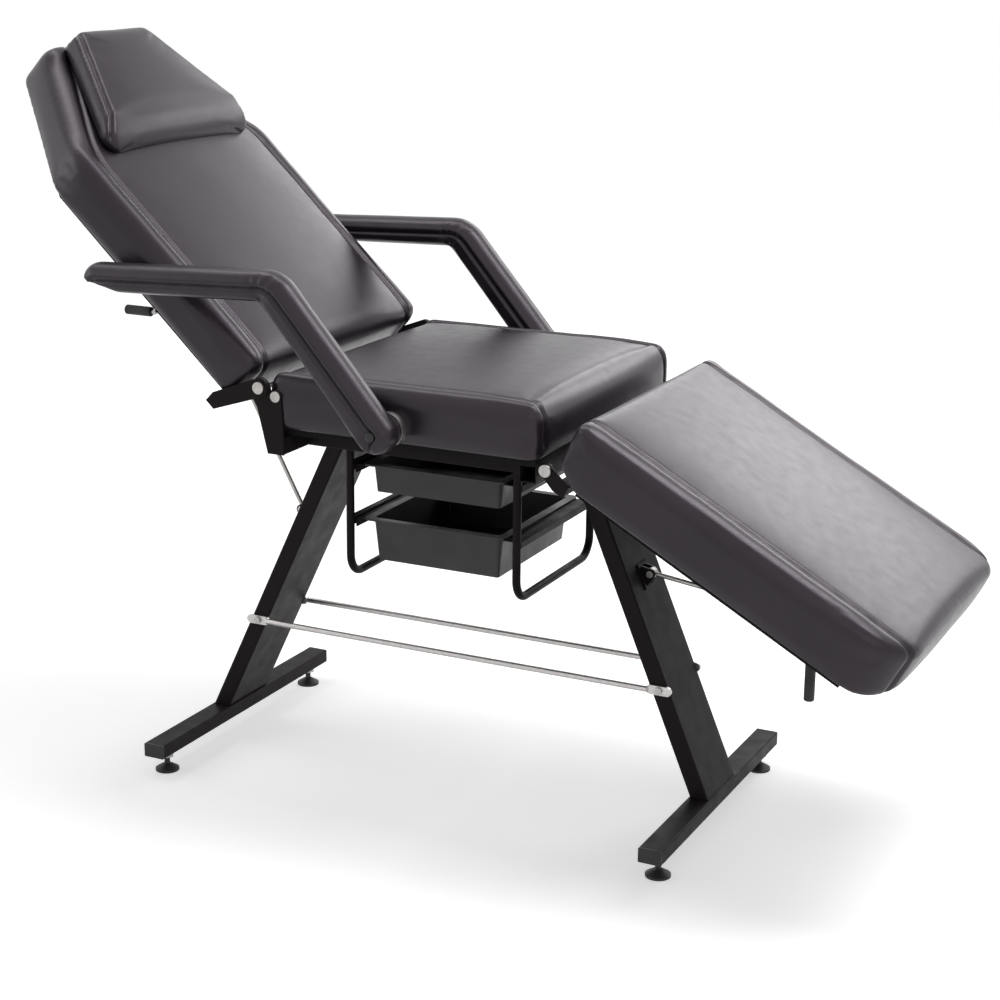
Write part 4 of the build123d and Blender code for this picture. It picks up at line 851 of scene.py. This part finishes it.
def metal(name, dark, light, roughness, stretch=None):
    """Bright metal, with streaks where its pattern is stretched."""
    made = Finish(name).set(Metallic=1.0).rounded_edges(0.0006)
    streaks = made.noise(scale=120.0, detail=4.0, rough=0.6, stretch=stretch)
    tone = made.ramp(streaks, (0.3, dark), (0.75, light))
    made.bump(streaks, strength=0.08, distance=0.0001)
    return made.done(tone, made.uneven(made.noise(scale=45.0, detail=4.0), *roughness))


def plastic(name, dark, light, roughness, grain):
    """Moulded plastic with a fine grain."""
    made = Finish(name).set(Specular_IOR_Level=0.45).rounded_edges(0.0012)
    tone = made.mottled(made.noise(scale=18.0), dark, light)
    tone = made.worn(tone, light=(0.05, 0.046, 0.045))
    made.bump(made.noise(scale=grain), strength=0.2, distance=0.0001)
    return made.done(tone, made.uneven(made.noise(scale=26.0), *roughness))


def plywood():
    made = Finish("birch_plywood").set(Specular_IOR_Level=0.3)
    grain = made.noise(scale=30.0, detail=6.0, rough=0.6, stretch=(0.4, 6.0, 2.0))
    tone = made.ramp(grain, (0.3, (0.36, 0.22, 0.12)), (0.5, (0.5, 0.34, 0.19)), (0.75, (0.6, 0.44, 0.27)))
    made.bump(grain, strength=0.25, distance=0.0003)
    return made.done(tone, made.span(grain, 0.55, 0.75))


def dust_cover():
    """Thin black cloth over the boards' undersides."""
    made = Finish("black_dust_cover").set(Specular_IOR_Level=0.15, Sheen_Weight=0.1)
    mottle = made.noise(scale=220.0)
    tone = made.mottled(mottle, dark=(0.007, 0.0065, 0.007), light=(0.014, 0.0125, 0.0135))
    made.bump(made.cells(600.0, "F1"), strength=0.4, distance=0.0002)
    made.bump(made.noise(scale=40.0), strength=0.2, distance=0.0008)
    return made.done(tone, made.span(made.noise(scale=80.0), 0.75, 0.92))


def tape():
    made = Finish("hook_tape_weave").set(Sheen_Weight=0.3, Specular_IOR_Level=0.2)
    mottle = made.noise(scale=300.0, detail=2.0)
    tone = made.mottled(mottle, dark=(0.01, 0.01, 0.01), light=(0.03, 0.03, 0.03))
    made.bump(made.cells(700.0, "F1"), strength=0.6, distance=0.0006)
    return made.done(tone, made.span(made.noise(scale=60.0), 0.8, 0.95))


finishes = {
    "upholstery": leather(),
    "frame_paint": powder_coat(),
    "black_plastic": plastic(
        "black_plastic_grain", (0.01, 0.01, 0.01), (0.017, 0.016, 0.016), roughness=(0.42, 0.6), grain=600.0,
    ),
    "grip_plastic": plastic(
        "soft_grip", (0.009, 0.009, 0.009), (0.015, 0.014, 0.014), roughness=(0.5, 0.68), grain=500.0,
    ),
    "tray_plastic": plastic(
        "tray_grain", (0.012, 0.0098, 0.0105), (0.018, 0.0148, 0.0155), roughness=(0.34, 0.48), grain=800.0,
    ),
    "bright_steel": metal("zinc_steel", (0.33, 0.32, 0.31), (0.5, 0.48, 0.46), roughness=(0.3, 0.44)),
    "chrome_steel": metal(
        "drawn_rod", (0.42, 0.405, 0.4), (0.66, 0.64, 0.63), roughness=(0.3, 0.42), stretch=(1.0, 6.0, 6.0),
    ),
    "strut_steel": metal(
        "strut_steel_brushed", (0.3, 0.29, 0.28), (0.5, 0.48, 0.46), roughness=(0.32, 0.46),
        stretch=(1.0, 6.0, 1.0),
    ),
    "plywood": plywood(),
    "covered_board": dust_cover(),
    "hook_tape": tape(),
}

slot_of = {entry["node"]: entry["material_slot"] for entry in frame["record"]["subparts"]}
for node_name, node in frame["nodes"].items():
    node.data.materials.clear()
    node.data.materials.append(finishes[slot_of[node_name]])
for piece, slot in pieces:
    piece.data.materials.append(finishes[slot])


# Floor, world and lights, with lengths in metres
WHITE = (1.0, 1.0, 1.0, 1.0)
FLOOR_REACH = 60.0
FLOOR_COLOUR = (0.85, 0.85, 0.85, 1.0)
GLOW_NEAR = 0.48
GLOW_FAR = 0.79
GLOW_GROWTH = (1.3, 3.2)
WORLD_LIGHT = 0.26
WORLD_GLOW = 0.74


def combined(tree, operation, first, second):
    """Output of a Math node on an output and another output or a number."""
    node = tree.nodes.new("ShaderNodeMath")
    node.operation = operation
    tree.links.new(first, node.inputs[0])
    if isinstance(second, float):
        node.inputs[1].default_value = second
    else:
        tree.links.new(second, node.inputs[1])
    return node.outputs[0]


def white_for_camera(tree, shader, emission, strength):
    """Adds the given glow for camera, glossy and transmission rays only."""
    path = tree.nodes.new("ShaderNodeLightPath")
    seen = combined(tree, "MAXIMUM", path.outputs["Is Camera Ray"], path.outputs["Is Glossy Ray"])
    seen = combined(tree, "MAXIMUM", seen, path.outputs["Is Transmission Ray"])
    tree.links.new(combined(tree, "MULTIPLY", seen, strength), emission.inputs["Strength"])
    add = tree.nodes.new("ShaderNodeAddShader")
    tree.links.new(shader.outputs[0], add.inputs[0])
    tree.links.new(emission.outputs[0], add.inputs[1])
    return add.outputs[0]


def coloured(tree, kind, colour):
    node = tree.nodes.new(kind)
    node.inputs["Color"].default_value = colour
    return node


def floor_material():
    """Matt floor whose glow grows with the distance from the chair, which keeps the shadow beside it."""
    material = bpy.data.materials.new("pale_floor")
    material.use_nodes = True
    tree = material.node_tree
    tree.nodes.remove(tree.nodes["Principled BSDF"])
    place = tree.nodes.new("ShaderNodeTexCoord")
    distance = tree.nodes.new("ShaderNodeVectorMath")
    distance.operation = "LENGTH"
    tree.links.new(place.outputs["Object"], distance.inputs[0])
    strength = map_range(tree, distance.outputs["Value"], GLOW_NEAR, GLOW_FAR, *GLOW_GROWTH, "SMOOTHSTEP")
    diffuse = coloured(tree, "ShaderNodeBsdfDiffuse", FLOOR_COLOUR)
    glow = coloured(tree, "ShaderNodeEmission", WHITE)
    surface = white_for_camera(tree, diffuse, glow, strength)
    tree.links.new(surface, tree.nodes["Material Output"].inputs["Surface"])
    return material


def studio_floor():
    corners = [(x * FLOOR_REACH, y * FLOOR_REACH, 0.0) for x, y in ((-1, -1), (1, -1), (1, 1), (-1, 1))]
    mesh = bpy.data.meshes.new("floor")
    mesh.from_pydata(corners, [], [(0, 1, 2, 3)])
    mesh.materials.append(floor_material())
    linked("studio_floor", mesh)


def studio_world():
    world = bpy.data.worlds.new("studio")
    scene.world = world
    world.use_nodes = True
    tree = world.node_tree
    for old in list(tree.nodes):
        tree.nodes.remove(old)
    plain = coloured(tree, "ShaderNodeBackground", WHITE)
    plain.inputs["Strength"].default_value = WORLD_LIGHT
    glow = coloured(tree, "ShaderNodeBackground", WHITE)
    output = tree.nodes.new("ShaderNodeOutputWorld")
    tree.links.new(white_for_camera(tree, plain, glow, WORLD_GLOW), output.inputs["Surface"])


def area_light(name, at, toward, size, watts):
    """A soft light of the given width and height."""
    data = bpy.data.lights.new(name, "AREA")
    data.shape = "RECTANGLE"
    data.size, data.size_y = size
    data.energy = watts
    light = linked(name, data)
    light.location = at
    light.rotation_euler = (Vector(toward) - Vector(at)).to_track_quat("-Z", "Y").to_euler()


studio_floor()
studio_world()
area_light("soft_back", at=(0.45, 3.6, 2.25), toward=(0.2, 0.0, 0.6), size=(3.4, 1.3), watts=36.0)
area_light("soft_low_back", at=(0.95, 2.1, 1.5), toward=(0.55, 0.0, 0.45), size=(1.1, 0.8), watts=4.0)
area_light("long_top", at=(-0.3, 0.15, 3.3), toward=(-0.3, 0.15, 0.7), size=(4.0, 0.9), watts=46.0)
area_light("soft_left", at=(-3.2, -1.6, 2.2), toward=(-0.1, 0.0, 0.8), size=(1.6, 1.6), watts=14.0)
area_light("high_foot", at=(1.45, 0.6, 3.0), toward=(0.0, -0.2, 0.7), size=(1.2, 1.2), watts=34.0)
area_light("soft_front", at=(2.6, -3.4, 2.6), toward=(0.0, 0.0, 0.6), size=(2.4, 1.8), watts=8.0)
scene.view_settings.view_transform = "Standard"

# Camera, at the photograph's viewing angle
PHOTO_PIXELS = 1000.0
FOCAL_PIXELS = 2105.166
SENSOR_WIDTH = 36.0
VIEW_REACH = 200.0
CAMERA_PLACE = (1.538045, -3.124201, 1.485829)
CAMERA_PAN = math.radians(25.73768)
CAMERA_TILT = math.radians(74.26972)
CAMERA_ROLL = math.radians(0.63014)

camera_data = bpy.data.cameras.new("photo_camera")
camera_data.sensor_width = SENSOR_WIDTH
camera_data.sensor_fit = "HORIZONTAL"
camera_data.lens = SENSOR_WIDTH * FOCAL_PIXELS / PHOTO_PIXELS
camera_data.clip_end = VIEW_REACH
camera = linked("photo_camera", camera_data)
camera_turn = (
    Matrix.Rotation(CAMERA_PAN, 4, "Z") @ Matrix.Rotation(CAMERA_TILT, 4, "X")
    @ Matrix.Rotation(CAMERA_ROLL, 4, "Z")
)
camera.matrix_world = Matrix.Translation(CAMERA_PLACE) @ camera_turn
scene.camera = camera
